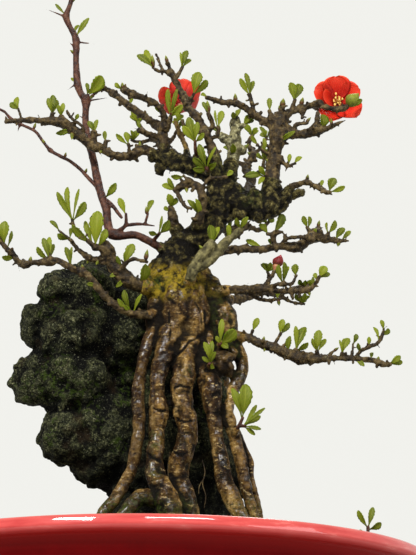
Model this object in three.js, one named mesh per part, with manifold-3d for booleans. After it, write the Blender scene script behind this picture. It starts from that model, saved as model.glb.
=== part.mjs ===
// Chojubai flowering quince bonsai: its roots grip a lava rock, in a round red glazed pot.
// Millimetres, +Z up, +X to the right and +Y away from the front. The origin is the centre of the
// pot's footprint, on the surface that the pot stands on.

import * as THREE from 'three';
import { mergeVertices } from 'three/addons/utils/BufferGeometryUtils.js';
import Module from 'manifold-3d';

const wasm = await Module();
wasm.setup();

// Pot
const POT_RADIUS = 140;
const POT_HEIGHT = 60;
const LIP_HEIGHT = 7.5;
const WALL_RADIUS = 133;
const INNER_RADIUS = 128;
const FLOOR_RADIUS = 98;
const FLOOR_HEIGHT = 13;
const FOOT_OUTER_RADIUS = 96;
const FOOT_INNER_RADIUS = 84;
const FOOT_HEIGHT = 6;
const FOOT_NOTCH_WIDTH = 34;
const POT_FACETS = 30;
const DRAIN_RADIUS = 11;
const DRAIN_OFFSET = 45;
const SCREEN_SIDE = 30;
const SCREEN_THICKNESS = 1;
const SCREEN_HOLE = 8;
const SCREEN_PITCH = 7;
const FOOT_NOTCHES = 3;

// Soil: its height at the pot's wall and at the foot of the tree
const SOIL_EDGE_HEIGHT = 53;
const SOIL_CROWN_HEIGHT = 69;

// Neighbouring pieces that touch keep this gap, and more where a curve's facets would narrow it
const CLEARANCE = 0.45;
const FACET_ALLOWANCE = 0.3;

// Foliage
const BLADE_THICKNESS = 0.85;
const STALK_WIDTH = 0.8;
const BROAD_LEAF_WIDTH = 5;
const NARROW_LEAF_WIDTH = 3.7;
const SMALLEST_LEAF_WIDTH = 3.4;
const SMALLEST_BUD_WIDTH = 2.2;
const LEAF_ROLL = 1.2;
const THORN_RADIUS = 0.75;
const ROOTING_DEPTH = 1.2;
const KNOB_REACH = 2.2;
const TUFT_LEAF_WIDTH = 0.38;

// Blooms
const PETAL_THICKNESS = 0.9;
const HEART_RADIUS = 2.1;
const STAMEN_FOOT_RADIUS = 0.3;
const STAMEN_TIP_RADIUS = 0.75;
const STAMEN_LENGTH = 3.8;
const CALYX_FOOT_RADIUS = 1.5;
const CALYX_TOP_RADIUS = 2.4;

// The tree is laid out as it is seen from its front. A place is [across, up, depth]: across and up
// are measured in the plane of the trunk, from the pot's axis and from the rim's near edge, and depth
// is how far behind that plane the place lies. The viewpoint is low and looks up at the tree.
const VIEW_DISTANCE = 1000;
const VIEW_TILT = THREE.MathUtils.degToRad(17);
const AIM_ACROSS = 31.5;
const AIM_UP = 117.25;
const AIM_HEIGHT = 203.8;

const COLOURS = {
  glaze: 0xc8414a,
  soil: 0x3a2d22,
  rock: 0x2f332d,
  screen: 0x22262a,
  oldWood: 0x6b4a2a,
  bark: 0x3f322a,
  whip: 0x4a2620,
  leaf: 0x7f9c2e,
  petal: 0xd8341f,
  stamen: 0xe9b135,
  calyx: 0x7d5a3a,
};

// Roots, trunk and thick limbs, which grew as one piece of wood: rows of [across, up, depth, radius]
const TRUNK = [
  // the root crown's three columns
  [[9, 124, 0, 7], [8.5, 115, -1, 8.6], [9.5, 102, -2, 7.6], [8, 84, -5, 5.2]],
  [[16, 128, 0, 9], [18, 116, 0, 11.6], [20, 102, 0, 12], [22, 88, 0, 10.6], [23, 72, 2, 8]],
  [[26, 119, 1, 7], [34, 107, 0, 7.8], [39.5, 93, -1, 7.6], [41, 77, -3, 5.6]],
  // trunk above the root crown
  [[14, 122, 0, 9], [20, 133, 0, 7.6], [28, 139, 0, 7.2], [35, 148.5, 2, 7.2], [38, 158, 3, 7.2],
  [38.5, 168, 4, 6]],
  // upper left limb, with its knob
  [[38, 164, 3, 5.6], [31.5, 171, 3, 5.6], [20, 173.6, 3, 5.2], [9.5, 176, 4, 4.8]],
  // crown mass to the right
  [[37, 156, 3, 6.5], [48, 154.5, 5, 7.5], [60, 152.5, 6, 6.8], [71.5, 158.5, 6, 3.6]],
  // cut stub at the right
  [[68, 156.5, 8, 2], [79.5, 160.5, 9, 1.8]],
  // root A
  [[6, 106, -6, 4.2], [3, 87, -9, 3.8], [-2, 71, -12, 3], [-3.5, 55, -13, 3.3], [-3.5, 37, -14, 2.8],
    [-8, 18, -14, 2.9], [-17.5, 3.5, -17, 3], [-30, -17, -23, 2.2]],
  // root B
  [[14, 96, -6, 6.8], [10.5, 80, -13, 5.2], [6, 62, -15, 3.9], [7.5, 51, -15, 4.7], [5.8, 37, -15, 3.9],
    [5, 21, -17, 4.7], [12, 3, -20, 6.2], [15, -21, -22, 5.2]],
  // root C
  [[22.5, 88, -6, 7], [19.5, 68, -14, 5.6], [19, 54, -15, 5.5], [21.5, 40, -15, 5], [17, 24, -13, 5.3],
    [20, 7, -13, 4.6], [26, -20, -17, 3.6]],
  // root D with its knob
  [[30, 88, -6, 5.4], [30.5, 72, -11, 5], [33.5, 58, -14, 5.4], [35.5, 42, -15, 3.5],
  [38.5, 22, -15, 4],
    [44.5, 5, -17, 4.1], [53, -17, -21, 3]],
  // root E, below the burr
  [[45, 84, -3, 3.8], [48.5, 72, -5, 3.4], [42, 53, -11, 2.9], [47.5, 27, -12, 3.1], [52.5, 4, -12, 3],
    [60, -20, -12, 2]],
  // thin root F
  [[44, 44, -12, 1.7], [51.5, 28, -8, 1.6], [54.5, 12, -7, 1.6], [62, -14, -5, 1.3]],
  // low root across the foot of root B
  [[9, 7, -19, 4], [1, 6.5, -22, 4.2], [-8, 3.5, -24, 3.6], [-16, -6, -26, 2.8]],
  // roots on the far side of the rock
  [[12, 116, 4, 6], [6, 104, 34, 5.2], [2, 82, 61, 4.4], [6, 54, 69, 3.8], [-2, 20, 70, 3.3],
  [-10, -34, 66, 2.6]],
  [[30, 106, 4, 6], [36, 90, 34, 5], [38, 64, 47, 4.4], [38, 34, 48, 3.8], [46, -28, 42, 2.8]],
];

// Burrs and knobs on the wood: [across, up, depth, radius]
const BURRS = [
  [38.5, 73, -9, 6.2], [7.5, 171.5, 3, 3.6], [54, 158.5, 3, 4], [47, 149, 0, 4.4], [12, 127, -5, 3.6],
];

// The knot hole beside the burr
const KNOT_HOLE = [40, 80.5, -9.5, 2.4];

// Lava rock: fused lumps, each [across, up, depth, radius, height over width]
const ROCK_LUMPS = [
  [-42.5, 110, 12, 11.5, 1], [-28, 108, 18, 18, 1], [-50, 93.5, 14, 12.5, 1], [-35, 88, 14, 20.5, 1],
  [-53.5, 67, 14, 14, 1], [-36, 64, 16, 20, 1], [-10, 86, 26, 24, 1.2], [-39, 38, 14, 14, 1],
  [-20, 38, 22, 22, 1.2], [16, 58, 28, 26, 1.3], [31, 22, 22, 20, 1.3], [4, 26, 28, 27, 1.2],
  [28, -10, 22, 23, 1], [0, -12, 26, 25, 1], [-22, 74, 44, 23, 1.5], [6, 52, 48, 25, 1.7],
  [12, 4, 46, 26, 1.6],
  [45, -10, 8, 14, 1],
];
const ROCK_DETAIL = 1;
const ROCK_ROUGHNESS = 0.3;

// Leafy stems. Each grows from the piece named in "on". Its stem has rows of [across, up, depth, radius],
// the first inside that piece and the second at the joint. A twig has rows of
// [across, up, lean, radius], where lean is its depth beyond the wood that it leaves. A leaf or bud is
// [base across, base up, tip across, tip up, width, lean], a thorn the same without a width,
// a knob [across, up, radius] and a tuft [across, up, number of leaves, length].
const STEMS = {
  "branch_whip": {
    "on": "trunk", "bark": "whip",
    "stem": [[15, 131, -2, 2.2], [6.6, 132.8, -5, 2.1], [2, 135.5, -6, 2], [-5, 138.5, -7, 2],
      [-12, 138, -7, 2.1], [-16.5, 139, -6, 2.4], [-18.5, 143.5, -5, 2.2], [-19.5, 152, -3, 2.2],
      [-21.5, 157.5, -1, 2.2], [-24, 167, 2, 2.1], [-25.8, 176, 4, 2], [-28, 184.5, 5, 1.9],
      [-29.5, 192, 6, 1.8], [-29.7, 200, 6, 1.8], [-29.4, 205.5, 6, 2.2], [-32, 209, 6, 1.7],
      [-33.8, 214.5, 6, 2], [-34.5, 226, 7, 1.6], [-34.5, 236, 8, 1.9], [-37.5, 242.5, 8, 1.4],
      [-39.5, 247.5, 8, 1.8], [-38, 252, 8, 1.3], [-36.5, 258, 7, 1.2], [-37.5, 264, 6, 1.2],
      [-36, 270, 5, 0.8]],
    "twigs": [
      [[-29.4, 205.5, 0, 1], [-28.5, 209, -2, 0.8]],
      [[-21, 157.5, 0, 1.3], [-16.5, 153.5, -2, 1.1], [-13.5, 149.5, -3, 1], [-11.5, 147, -4, 0.8]],
      [[-16.5, 138.5, 0, 1.3], [-10, 143, -3, 1.1], [-9.5, 149.5, -5, 0.8]],
      [[-9.8, 143.3, 0, 1], [-2.5, 144, -1, 0.9], [5, 143, -2, 0.4]],
      [[0, 143.8, 0, 0.8], [1.5, 149.5, -2, 0.7]],
      [[3.5, 135, 0, 1.1], [7.5, 139.5, -6, 0.9]],
    ],
    "leaves": [
      [-42, 249, -44.8, 254, 1.8, 0], [-33, 238, -28, 247, 3.2, -2], [-35, 239.5, -33, 243.5, 2, 2],
      [-34.5, 214, -37, 217, 1.6, 1], [-28.5, 209, -21.5, 218, 7, -2],
      [-28.5, 209, -29.2, 214.5, 2.2, 1],
      [-20, 157, -14.5, 164.5, 3.6, -3], [-9.5, 149.5, -13, 157, 3.6, -1], [1.5, 149.5, 4, 156, 3, 2],
      [7.5, 139.5, 12, 146, 4, -3], [7.5, 139.5, 8.5, 148, 1.6, -1], [7.5, 139.5, 2, 140, 2.6, -3],
      [-37.5, 264, -42, 270, 3, -1], [-36, 270, -33, 276, 3.4, 1], [-36, 270, -38.5, 277, 3, -1],
      [-38, 253, -34, 257.5, 2.6, 3],
    ],
    "buds": [[-35, 229, -37.6, 231, 1.8, 0], [1.5, 149.5, 0.5, 153, 2, -1]],
    "thorns": [[-40, 247.5, -50.8, 252, 0], [-34, 235, -24.5, 234, 1], [-35, 231, -39, 236.5, -1],
      [-34, 214.5, -39.5, 210.5, 1], [-29.4, 205.5, -16, 207.5, 3], [-29.6, 196, -34, 199, 4]],
    "knobs": [[-29.4, 205.5, 2.6], [-34.6, 236, 2.2], [-39.5, 247.5, 2], [-16.5, 139, 2.9]],
  },
  "shoot_left_thin": {
    "on": "branch_whip", "bark": "whip",
    "stem": [[-23, 161.5, 1, 1.1], [-27, 165.7, 2, 1.1], [-28.8, 167.6, 3, 1.1], [-32.5, 171.5, 5, 1],
      [-37.5, 175.5, 7, 1], [-42.5, 178, 9, 1], [-47.5, 181, 11, 1], [-51.5, 186, 13, 0.9],
      [-55, 190.5, 15, 0.9], [-62.5, 194, 18, 0.9], [-67.5, 197, 20, 0.9], [-70, 200, 22, 0.8],
      [-73, 201.5, 24, 0.8], [-77, 204, 26, 0.6]],
    "twigs": [],
    "leaves": [[-77, 204, -81, 209, 3, 1], [-77, 204, -84, 205, 3, 3]],
    "buds": [[-55.5, 191.5, -54.5, 195, 1.6, 0], [-50.5, 183, -51.5, 186.5, 1.6, 0],
      [-40, 177, -39.5, 180, 1.6, 0], [-30, 169, -29, 172, 1.6, 0]],
    "thorns": [[-62.5, 194, -64, 189, 1]],
    "knobs": [[-47.5, 181, 1.4], [-62.5, 194, 1.3]],
  },
  "branch_left_upper": {
    "on": "trunk", "bark": "bark",
    "stem": [[10, 176, 4, 2.6], [2, 180.3, 2, 2.3], [-2.5, 181, 0, 2.6], [-7.5, 178, -2, 2.2],
      [-15, 178, -4, 2], [-21, 181, -6, 2], [-23.5, 182.5, -7, 2.4], [-27, 183, -8, 2.2],
      [-32.5, 188, -9, 2.6], [-37.5, 192, -10, 3], [-42.5, 195, -12, 2.7], [-50, 195.5, -13, 1.8],
      [-57.5, 196, -14, 1.5], [-64, 195.5, -15, 1.2], [-70, 195.2, -16, 1]],
    "twigs": [
      [[-61.5, 195.8, 0, 0.9], [-63.5, 202, -1, 0.7]], [[-46, 195.5, 0, 1.1], [-46.5, 200, 1, 0.9]],
      [[-41.5, 195, 0, 1.1], [-42, 198.5, -1, 0.9]],
      [[-32, 188.5, 0, 1.2], [-31, 192.5, -3, 1], [-37.5, 197.5, -4, 0.9], [-39, 201, -4, 0.7]],
      [[-25.5, 183, 0, 1.5], [-25.5, 190.5, -2, 1.4]], [[-19.7, 181, 0, 1.2], [-19.7, 185.5, 2, 1]],
      [[-7.5, 178.5, 0, 1.2], [-8.5, 184.5, -3, 0.9]],
    ],
    "leaves": [
      [-63.5, 202, -67.5, 204.5, 3.6, -1], [-63.5, 202, -64, 207.5, 3, 1],
      [-46.5, 200, -48.5, 207, 3, -2],
      [-46.5, 200, -46, 208.5, 3.6, 0], [-46.5, 200, -43.8, 206, 3, 2],
      [-42, 198.5, -43.5, 203.5, 2.6, -3],
      [-42, 198.5, -40.8, 204.5, 2.6, -1], [-35, 195.5, -33.3, 199, 2.2, -2],
      [-38, 190, -44.5, 189.3, 3, -3],
      [-25.5, 190.5, -28.4, 195.5, 2.8, -1], [-25.5, 190.5, -23.8, 196.2, 2.8, 0],
      [-19.7, 185.5, -20.2, 190.5, 2.4, 1],
      [-8.5, 184.5, -14.5, 189, 2.6, -1], [-8.5, 184.5, -9.8, 190, 3.2, -1],
    ],
    "buds": [[-37, 190, -36.6, 186, 2.4, -2], [-22, 181.5, -22.5, 179, 2, -2],
      [-3, 181, -2.5, 185.5, 2.4, 0]],
    "thorns": [[-24, 182.5, -21, 176.5, -2], [-52, 195.5, -54, 199.5, 1]],
    "knobs": [[-37.5, 192, 3.4], [-42.5, 195, 3], [-2, 182.5, 2.6], [-25.7, 192, 2.2],
      [-50, 195.6, 2.2],
      [-57.5, 196, 1.9], [-23.5, 182.5, 2.8]],
  },
  "branch_crown_left": {
    "on": "trunk", "bark": "bark",
    "stem": [[9.5, 175, 4, 3], [9.2, 183, 5, 2.7], [9.3, 187, 6, 2.5], [8.5, 191, 8, 2.4],
      [5, 194, 11, 2.1],
      [1.5, 196.5, 13, 2], [-2.5, 199.5, 15, 2], [-7.5, 202.5, 17, 2], [-13.5, 207.5, 19, 1.7],
      [-18.5, 211, 21, 1.5], [-22.5, 211.5, 22, 1.2], [-26, 208.5, 23, 0.9]],
    "twigs": [
      [[8.8, 190, 0, 2.1], [9.5, 197, -4, 1.9], [8, 201, -6, 1.8], [5, 204, -8, 1.8],
      [0, 206.5, -10, 1.7],
        [-5, 208.5, -12, 1.6], [-12, 211.5, -15, 1.4]],
      [[9, 190, 0, 1.3], [12, 194, -5, 1.2], [13, 198.5, -8, 1.1]],
      [[9.2, 186.2, 0, 1.6], [2.5, 188.5, -5, 1.5], [-3.5, 191, -9, 1.3]],
      [[-18, 210.5, 0, 1.2], [-21.5, 213.5, -2, 0.9]],
    ],
    "leaves": [
      [13, 199, 11.5, 211.5, 3.2, -3], [13, 199, 16, 211.5, 2.6, -6], [13, 199, 18.8, 203.5, 4, -5],
      [8, 198, 5, 203.5, 2.4, -3], [-3.5, 191, -3.5, 195.5, 2.2, -1], [-12, 211.5, -15, 214.5, 2.4, -1],
      [-26, 208.5, -29, 211.5, 2.6, 1], [-7.5, 203, -6.5, 207.5, 2.2, 2],
    ],
    "buds": [[-12, 211.5, -11.5, 215, 2.2, 0], [-21.5, 213.5, -21, 217, 2, 0],
      [-26, 208.5, -28.5, 206, 2, 0],
      [13, 198.5, 14.5, 202, 2.2, -2]],
    "thorns": [[-3.5, 191, -6.5, 192.5, -1], [0, 206, 1.5, 211, 1]],
    "knobs": [[-12, 204.5, 2.2], [-9, 200.5, 2], [-10, 210, 2.2], [-6, 208.5, 2.1], [3, 205.5, 2.2],
      [9, 193, 2.9], [-16, 209.5, 2.1], [5.5, 193, 2.6]],
  },
  "branch_crown_centre": {
    "on": "trunk", "bark": "bark",
    "stem": [[37, 166, 0, 3], [34.2, 178, -4, 2.6], [33.5, 181, -4, 2.6], [32, 186, -5, 2.4],
      [30, 191, -5, 2.2],
      [27.5, 195, -5, 2.1], [25, 198.5, -5, 2.1], [22, 202, -4, 2], [19.5, 207, -3, 1.9],
      [17.5, 211, -2, 1.8],
      [14.5, 217, -1, 1.7], [13, 220, 0, 1.6]],
    "twigs": [
      [[13.5, 219.5, 0, 1.3], [10, 220.5, -1, 1.1], [6.5, 220.5, -1, 1], [3.5, 222.5, -2, 0.8]],
      [[9, 220.5, 0, 0.9], [5.5, 229, 3, 0.7]], [[13, 219, 0, 1.2], [11, 225, -2, 1.1]],
      [[15.2, 216, 0, 1.1], [19, 223, 1, 0.9]], [[22.3, 202.5, 0, 1], [24.5, 209.5, -4, 0.9]],
      [[30.5, 190, 0, 1.2], [21, 190.5, -5, 1], [18.5, 196, -6, 0.8]],
      [[30.3, 190.3, 0, 1.3], [34, 192.5, -1, 1.2], [31.5, 200, -3, 1.2]],
      [[32, 187, 0, 1.1], [36.8, 188.5, -3, 1], [36.2, 193, -4, 0.9]],
      [[22.5, 201.5, 0, 1.5], [20.5, 201.5, 7.5, 1.4]],
    ],
    "leaves": [
      [3.5, 222.5, -4, 228.5, 4, -1], [3.5, 222.5, 0, 231, 3.4, 1], [19, 223, 21, 230.8, 3.6, 0],
      [19, 223, 23, 226.3, 2.6, 2], [19, 223, 17.7, 229.8, 1.5, -2], [24.5, 209.5, 27, 220, 6, -2],
      [24.5, 209.5, 31.2, 215.8, 4, 1], [31.5, 200, 28.8, 205, 2.6, -1],
      [36.2, 193, 35, 200.8, 1.5, -1],
      [36.2, 193, 38.6, 200.6, 3.8, 0], [18.5, 196, 15.5, 199.5, 2.2, -2],
    ],
    "buds": [[3.5, 222.5, 3.4, 229, 2.2, -2], [31.5, 200, 31, 206, 3, 0], [11, 225, 10.2, 228.5, 2, 0]],
    "thorns": [[27.5, 195, 24, 193, -2], [17.5, 211, 13.5, 212, -2]],
    "knobs": [[15, 221, 2], [13, 220, 2], [25, 198.5, 2.6], [30, 191, 2.7], [19.5, 207, 2.3],
      [33.6, 181, 3]],
  },
  "branch_crown_ochre": {
    "on": "trunk", "bark": "oldWood",
    "stem": [[21.5, 173, 3, 1.7], [20.8, 180.3, 6, 1.5], [19.8, 184, 8, 1.4], [17.5, 189, 11, 1.3],
      [15, 195, 14, 1.1]],
    "twigs": [],
    "leaves": [[15, 195, 16.5, 200.5, 2.6, 1], [15, 195, 19, 198.5, 2.6, 2]],
    "buds": [[18.5, 187.5, 21, 190, 1.8, 2]],
    "thorns": [],
    "knobs": [[17.5, 189, 1.8]],
  },
  "tuft_limb_left": {
    "on": "trunk", "bark": "leaf",
    "stem": [[25.5, 173, 0, 1.4], [25.6, 178.8, -6, 1.2], [25.2, 182, -10, 1], [25, 186, -12.5, 0.8]],
    "twigs": [],
    "leaves": [[25, 186, 18.8, 193, 4, -4], [25, 186, 21.8, 197.5, 4.6, -1],
      [25, 186, 26.4, 195, 3.4, -2],
      [25, 185, 29.5, 189.5, 2.8, -4]],
    "buds": [],
    "thorns": [],
    "knobs": [],
  },
  "tuft_crotch": {
    "on": "trunk", "bark": "leaf",
    "stem": [[31.5, 170, 0, 1.6], [31, 171.3, -6.4, 1.4], [30.8, 172, -9, 1.2]],
    "twigs": [],
    "leaves": [[30.8, 172, 27, 184, 4, -4], [30, 173, 24, 177, 3.6, -4],
      [31.2, 173, 35.5, 182.5, 1.8, -6],
      [30, 171, 24, 171.5, 3.4, -5], [31, 171, 35.5, 174.5, 3, -6]],
    "buds": [],
    "thorns": [],
    "knobs": [],
  },
  "branch_lichen": {
    "on": "trunk", "bark": "oldWood",
    "stem": [[40, 163, 4, 4], [43.5, 174.5, 10, 3.5], [44.5, 181, 12, 3.3], [45, 188, 13, 3],
      [45, 193.5, 14, 2.6],
      [46, 197, 15, 1.8]],
    "twigs": [[[44.5, 184, 0, 2.2], [39.5, 187, 1, 2], [36, 190, 2, 1.2]], [[45, 191.5, 0, 1.3],
      [50, 193.5, -2, 1]],
      [[44, 178, 0, 1.8], [49.5, 181.5, -2, 1.8]]],
    "leaves": [[45.5, 194, 44, 200, 2.6, -2], [46, 197, 47.5, 201.5, 2.6, 1],
      [50, 193.5, 52.5, 198.5, 3.6, -1],
      [50, 193.5, 54.4, 196, 2.6, 1], [44.5, 178, 43.8, 184, 3.4, -8], [36, 190, 33.5, 193.5, 2.4, 2]],
    "buds": [[49.5, 181.5, 52, 184, 2.4, 0], [36, 190, 37, 194, 2.2, 1]],
    "thorns": [],
    "knobs": [[49.3, 181.8, 2.9], [39.5, 187, 2.6], [44.8, 184.5, 3.8], [45.4, 194, 3]],
  },
  "branch_right_upper": {
    "on": "trunk", "bark": "bark",
    "stem": [[62, 154, 6, 4.9], [63.5, 165, 7, 4.3], [64, 171, 8, 3.7], [64.3, 178.5, 8, 3.6],
      [66.5, 186, 8, 4.6],
      [67.5, 192, 9, 4.8], [67.8, 197.5, 9, 3.6], [68, 200, 9, 2]],
    "twigs": [
      [[65, 192.5, 0, 2.2], [60, 195, 0, 2], [55, 198.5, -1, 1.8], [50, 202, -2, 1.8],
      [45.5, 204.5, -3, 2],
        [40, 204.7, -4, 1.4], [35, 206, -4, 1.4], [30.5, 207.5, -4, 1.1]],
      [[54.5, 199, 0, 1.4], [53.5, 204, -3, 1.3], [52, 209, -4, 1.2]],
      [[65, 195, 0, 1.4], [62, 201, -3, 1.2]], [[68, 198, 0, 1.6], [69, 203, -3, 1.3]],
      [[68.5, 196, 0, 2.2], [72.5, 200, 1, 2], [77.5, 201.5, 1, 1.9], [82.5, 203, 0, 1.9],
      [86.5, 204.5, -4, 1.9],
        [90, 202.5, -7, 1.8], [95, 201.5, -8, 1.8], [99.5, 202, -9, 1.8], [102, 203.6, -10, 1.3]],
      [[84.5, 203.7, 0, 1.3], [85.3, 201.6, 6, 1.2], [89.5, 200.4, 13.2, 1.2], [92.3, 200.2, 15.4, 1.2]],
      [[73, 200.3, 0, 1.3], [75, 206.5, -2, 1.1]], [[79, 201.5, 0, 1], [78.5, 196.5, -2, 0.8]],
      [[77.5, 201.5, 0, 1.1], [78.5, 204, -1, 1]],
      [[67.5, 190.5, 0, 2.6], [75, 189, -4, 2.4], [80, 189, -7, 2.4], [86, 191, -10, 2.8],
      [91, 191.5, -13, 1.7],
        [93.5, 193, -14, 1.2], [100.5, 196, -16, 0.4]],
      [[86, 191, 0, 1.6], [86.3, 198, -1, 1.3], [86.5, 200, -1, 1]],
      [[75, 189.5, 0, 1.2], [75.5, 193.5, -2, 1.1], [81.5, 194.5, -3, 0.9]],
      [[64.5, 178, 0, 1.2], [59.5, 180, -2, 1], [56, 184, -3, 0.8]],
      [[64.5, 175, 0, 1.4], [67.5, 176, -2, 1.3], [71, 173, -3, 1.1], [75.5, 174.5, -4, 0.8]],
      [[63.5, 168.5, 0, 1.2], [59, 167.5, -6, 0.9]],
    ],
    "leaves": [
      [52, 209, 47.5, 216.8, 3.2, -2], [52, 209, 50.2, 219.5, 3, 0], [52, 209, 54.2, 215.6, 2.6, 2],
      [62, 201, 62.2, 207, 3, 0], [75, 206.5, 72.8, 214.8, 5, -2], [75, 206.5, 77.4, 214, 5, 1],
      [89, 192, 88.3, 198.8, 5.6, -3], [69, 184, 75, 190.4, 2.6, -7], [56, 184, 53.4, 188, 2.6, 0],
      [60, 180, 59.3, 187, 2.4, -2], [59, 167.5, 57, 173, 3, -5], [59, 167.5, 50, 168, 3.6, -3],
      [59, 167.5, 56.8, 164, 2.6, -5], [72, 172.8, 72.5, 179, 2.4, -1],
      [75.5, 174.5, 78.5, 177.5, 2.6, -1],
      [102, 203.6, 108.6, 206.2, 3.4, -2], [30.5, 207.5, 28, 209, 2.2, 2],
    ],
    "buds": [
      [69, 203, 69.2, 207, 3.2, 0], [78.5, 204, 79, 207.5, 2.6, 0], [81.5, 194.5, 83, 197.5, 1.8, 0],
      [62, 174, 60.2, 176.5, 2.4, -2], [102, 203.6, 107, 209.4, 6.2, -1], [93.5, 193, 93, 197, 1.8, 1],
      [45.5, 205, 45, 209.5, 2.4, 0], [68, 200, 67, 203.5, 2.6, 2],
    ],
    "thorns": [[60, 195, 57, 191, -2], [95, 201.5, 97, 197, 1], [71, 173, 70, 169.5, 0]],
    "knobs": [[45.5, 204.5, 2.4], [67, 189, 5.2], [86, 191, 3.4], [66.5, 195.5, 4], [77.5, 201.5, 2.4],
      [99, 202.2, 2.3], [64.2, 174.5, 4], [55, 198.5, 2.3], [72, 190, 3], [86.5, 204.3, 2.4],
      [80, 189, 2.8]],
  },
  "branch_right_short": {
    "on": "trunk", "bark": "bark",
    "stem": [[68.5, 156.5, 4, 2], [73.2, 162.6, 1, 1.7], [76, 163.5, -1, 1.5], [81, 165, -4, 1.4],
      [84, 163.5, -7, 1.3], [87.5, 162, -10, 1.3], [91, 159.8, -13, 1.2], [93, 160, -15, 1]],
    "twigs": [],
    "leaves": [[92.5, 160.5, 95, 167, 4.8, -2], [93, 160, 100, 162.8, 2.8, -1],
      [88, 161.8, 88.8, 166, 2, 1]],
    "buds": [[81, 165, 81.5, 169, 2, 0]],
    "thorns": [[84, 163.5, 85, 159.5, 0]],
    "knobs": [[81, 165, 1.9], [87.5, 162, 1.8]],
  },
  "branch_arch": {
    "on": "trunk", "bark": "bark",
    "stem": [[26, 140, -2, 2.6], [26.6, 145, -10, 2.4], [28, 150, -12, 2.2], [29, 156, -13, 2.2],
      [28.3, 160, -13, 2.1],
      [26.5, 162.7, -13, 2.1], [22.5, 164, -12, 2.1], [18.5, 163, -11, 2.1], [14.8, 160, -10, 1.6]],
    "twigs": [[[15.5, 160.3, 0, 1.2], [19.5, 153.5, -3, 1], [23.5, 151.5, -5, 0.8]],
      [[28, 161, 0, 1], [32, 166.5, -2, 0.9], [41.5, 167.5, -3, 0.7]], [[24, 163.7, 0, 0.9],
      [19, 168.5, -3, 0.7]]],
    "leaves": [[19, 168.5, 13, 168, 2.6, -1], [15, 161, 11.5, 167, 2.6, -2],
      [14.8, 160, 8.5, 163.5, 3.6, -2],
      [27, 147.5, 21.3, 156, 3.2, -5], [27, 147.5, 25.4, 156.5, 3, -7],
      [41.5, 167.5, 44, 170.5, 2.6, -1]],
    "buds": [[20.5, 163.5, 21, 159.5, 2, -2]],
    "thorns": [],
    "knobs": [[28.8, 157, 2.6], [20.5, 164, 2.5]],
  },
  "branch_left_dark": {
    "on": "trunk", "bark": "bark",
    "stem": [[18, 134, -2, 3], [15, 142.8, -6, 2.6], [14, 146, -7, 2.4], [13, 151, -7, 1.7],
      [12.6, 153, -7, 1.1]],
    "twigs": [],
    "leaves": [[12.8, 152, 11.6, 159, 4, -5], [12.8, 152, 16, 157, 2.6, 1],
      [13.3, 150, 9.5, 152.5, 2.4, 1]],
    "buds": [],
    "thorns": [],
    "knobs": [[13.6, 147.5, 2.7]],
  },
  "branch_left_main": {
    "on": "trunk", "bark": "bark",
    "stem": [[7, 112, -4, 4], [-2, 113, -8, 3.8], [-6, 114.5, -9, 3.7], [-10, 117, -10, 3.7],
      [-14.5, 122, -11, 3.7],
      [-17.5, 127, -12, 3.6], [-19.5, 132, -13, 3.2], [-20.5, 135, -14, 2.2]],
    "twigs": [
      [[-19, 131.5, 0, 2], [-23, 132.3, -2, 1.6], [-26, 131.5, -4, 1.3]],
      [[-26, 131.5, 0, 1.3], [-30, 137, -2, 1.1], [-34.5, 140, -3, 1], [-36.5, 146.5, -4, 0.9]],
      [[-17.5, 127.5, 0, 1.6], [-23, 126.3, 1, 1.5], [-28, 127, 1, 1.4], [-33.5, 131.5, 1, 1.1],
      [-37.5, 136.5, 0, 0.9]],
      [[-37.5, 136.5, 0, 0.8], [-43.5, 141, 1, 0.7]],
      [[-13, 120, 0, 1.6], [-10.5, 123.5, -4, 1.2], [-6, 126.5, -6, 0.9], [1.5, 125, -8, 0.8]],
    ],
    "leaves": [
      [-25, 132, -23.5, 150.5, 7.6, -3], [-27, 133, -36.5, 143.6, 4, -5],
      [-26, 132.5, -30, 145.5, 3.2, 0],
      [-24, 132.5, -19.4, 141.5, 4, -3], [-36.5, 146.5, -44, 160, 3.4, -2],
      [-36.5, 146.5, -38.8, 162.5, 3, 1],
      [-36.5, 147, -29.8, 155, 4.2, -1], [-36.5, 146.5, -33, 161.5, 1.8, 2],
      [-37.5, 136.5, -43.8, 139, 3.2, -3],
      [-43.5, 141, -47.5, 145.6, 2.4, 0], [-37.5, 136.5, -37, 142, 2.2, 2],
      [-10.5, 123.5, -5.8, 134, 5, -1],
      [-10.5, 123.5, -9.6, 130, 2.8, 1], [-12, 122.5, -14, 128, 2.4, -3],
      [-13.5, 119, -17.5, 117.6, 2.2, -2],
      [-10, 116.5, -14.5, 112.5, 2.4, -2], [-2.5, 113.5, 0.3, 124, 5, -7],
    ],
    "buds": [[-23, 126.3, -24.5, 123.5, 2, -1], [1.5, 125, 1.2, 131.5, 2.4, 0],
      [-28, 127, -29, 124, 1.8, 0]],
    "thorns": [[-30, 137, -28, 140.5, 2]],
    "knobs": [[-19, 130, 4], [-10, 117, 4.1], [-23.3, 132, 2.2], [-28, 127.3, 2]],
  },
  "branch_lower_left": {
    "on": "trunk", "bark": "bark",
    "stem": [[8, 99, -6, 2.4], [0.3, 98.8, -13, 2], [-5, 99, -15, 1.9], [-10, 100.5, -17, 1.8],
      [-15, 104, -18, 1.8],
      [-20, 108, -19, 1.8], [-24, 113, -20, 1.8], [-27.5, 117.5, -20, 1.8], [-31, 120, -20, 2],
      [-35, 121, -21, 1.8],
      [-39.5, 123.5, -22, 1.8], [-44, 126, -23, 1.7], [-47.5, 125.5, -24, 2.3], [-52.5, 125, -25, 1.5],
      [-57.5, 124.5, -26, 1.5], [-60.5, 123.5, -26, 2], [-63.5, 125.5, -27, 1.4],
      [-66.5, 129, -28, 1.7],
      [-69.5, 132, -29, 1.3], [-72.5, 136, -30, 1.1], [-74.5, 139, -30, 0.8]],
    "twigs": [],
    "leaves": [
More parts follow.
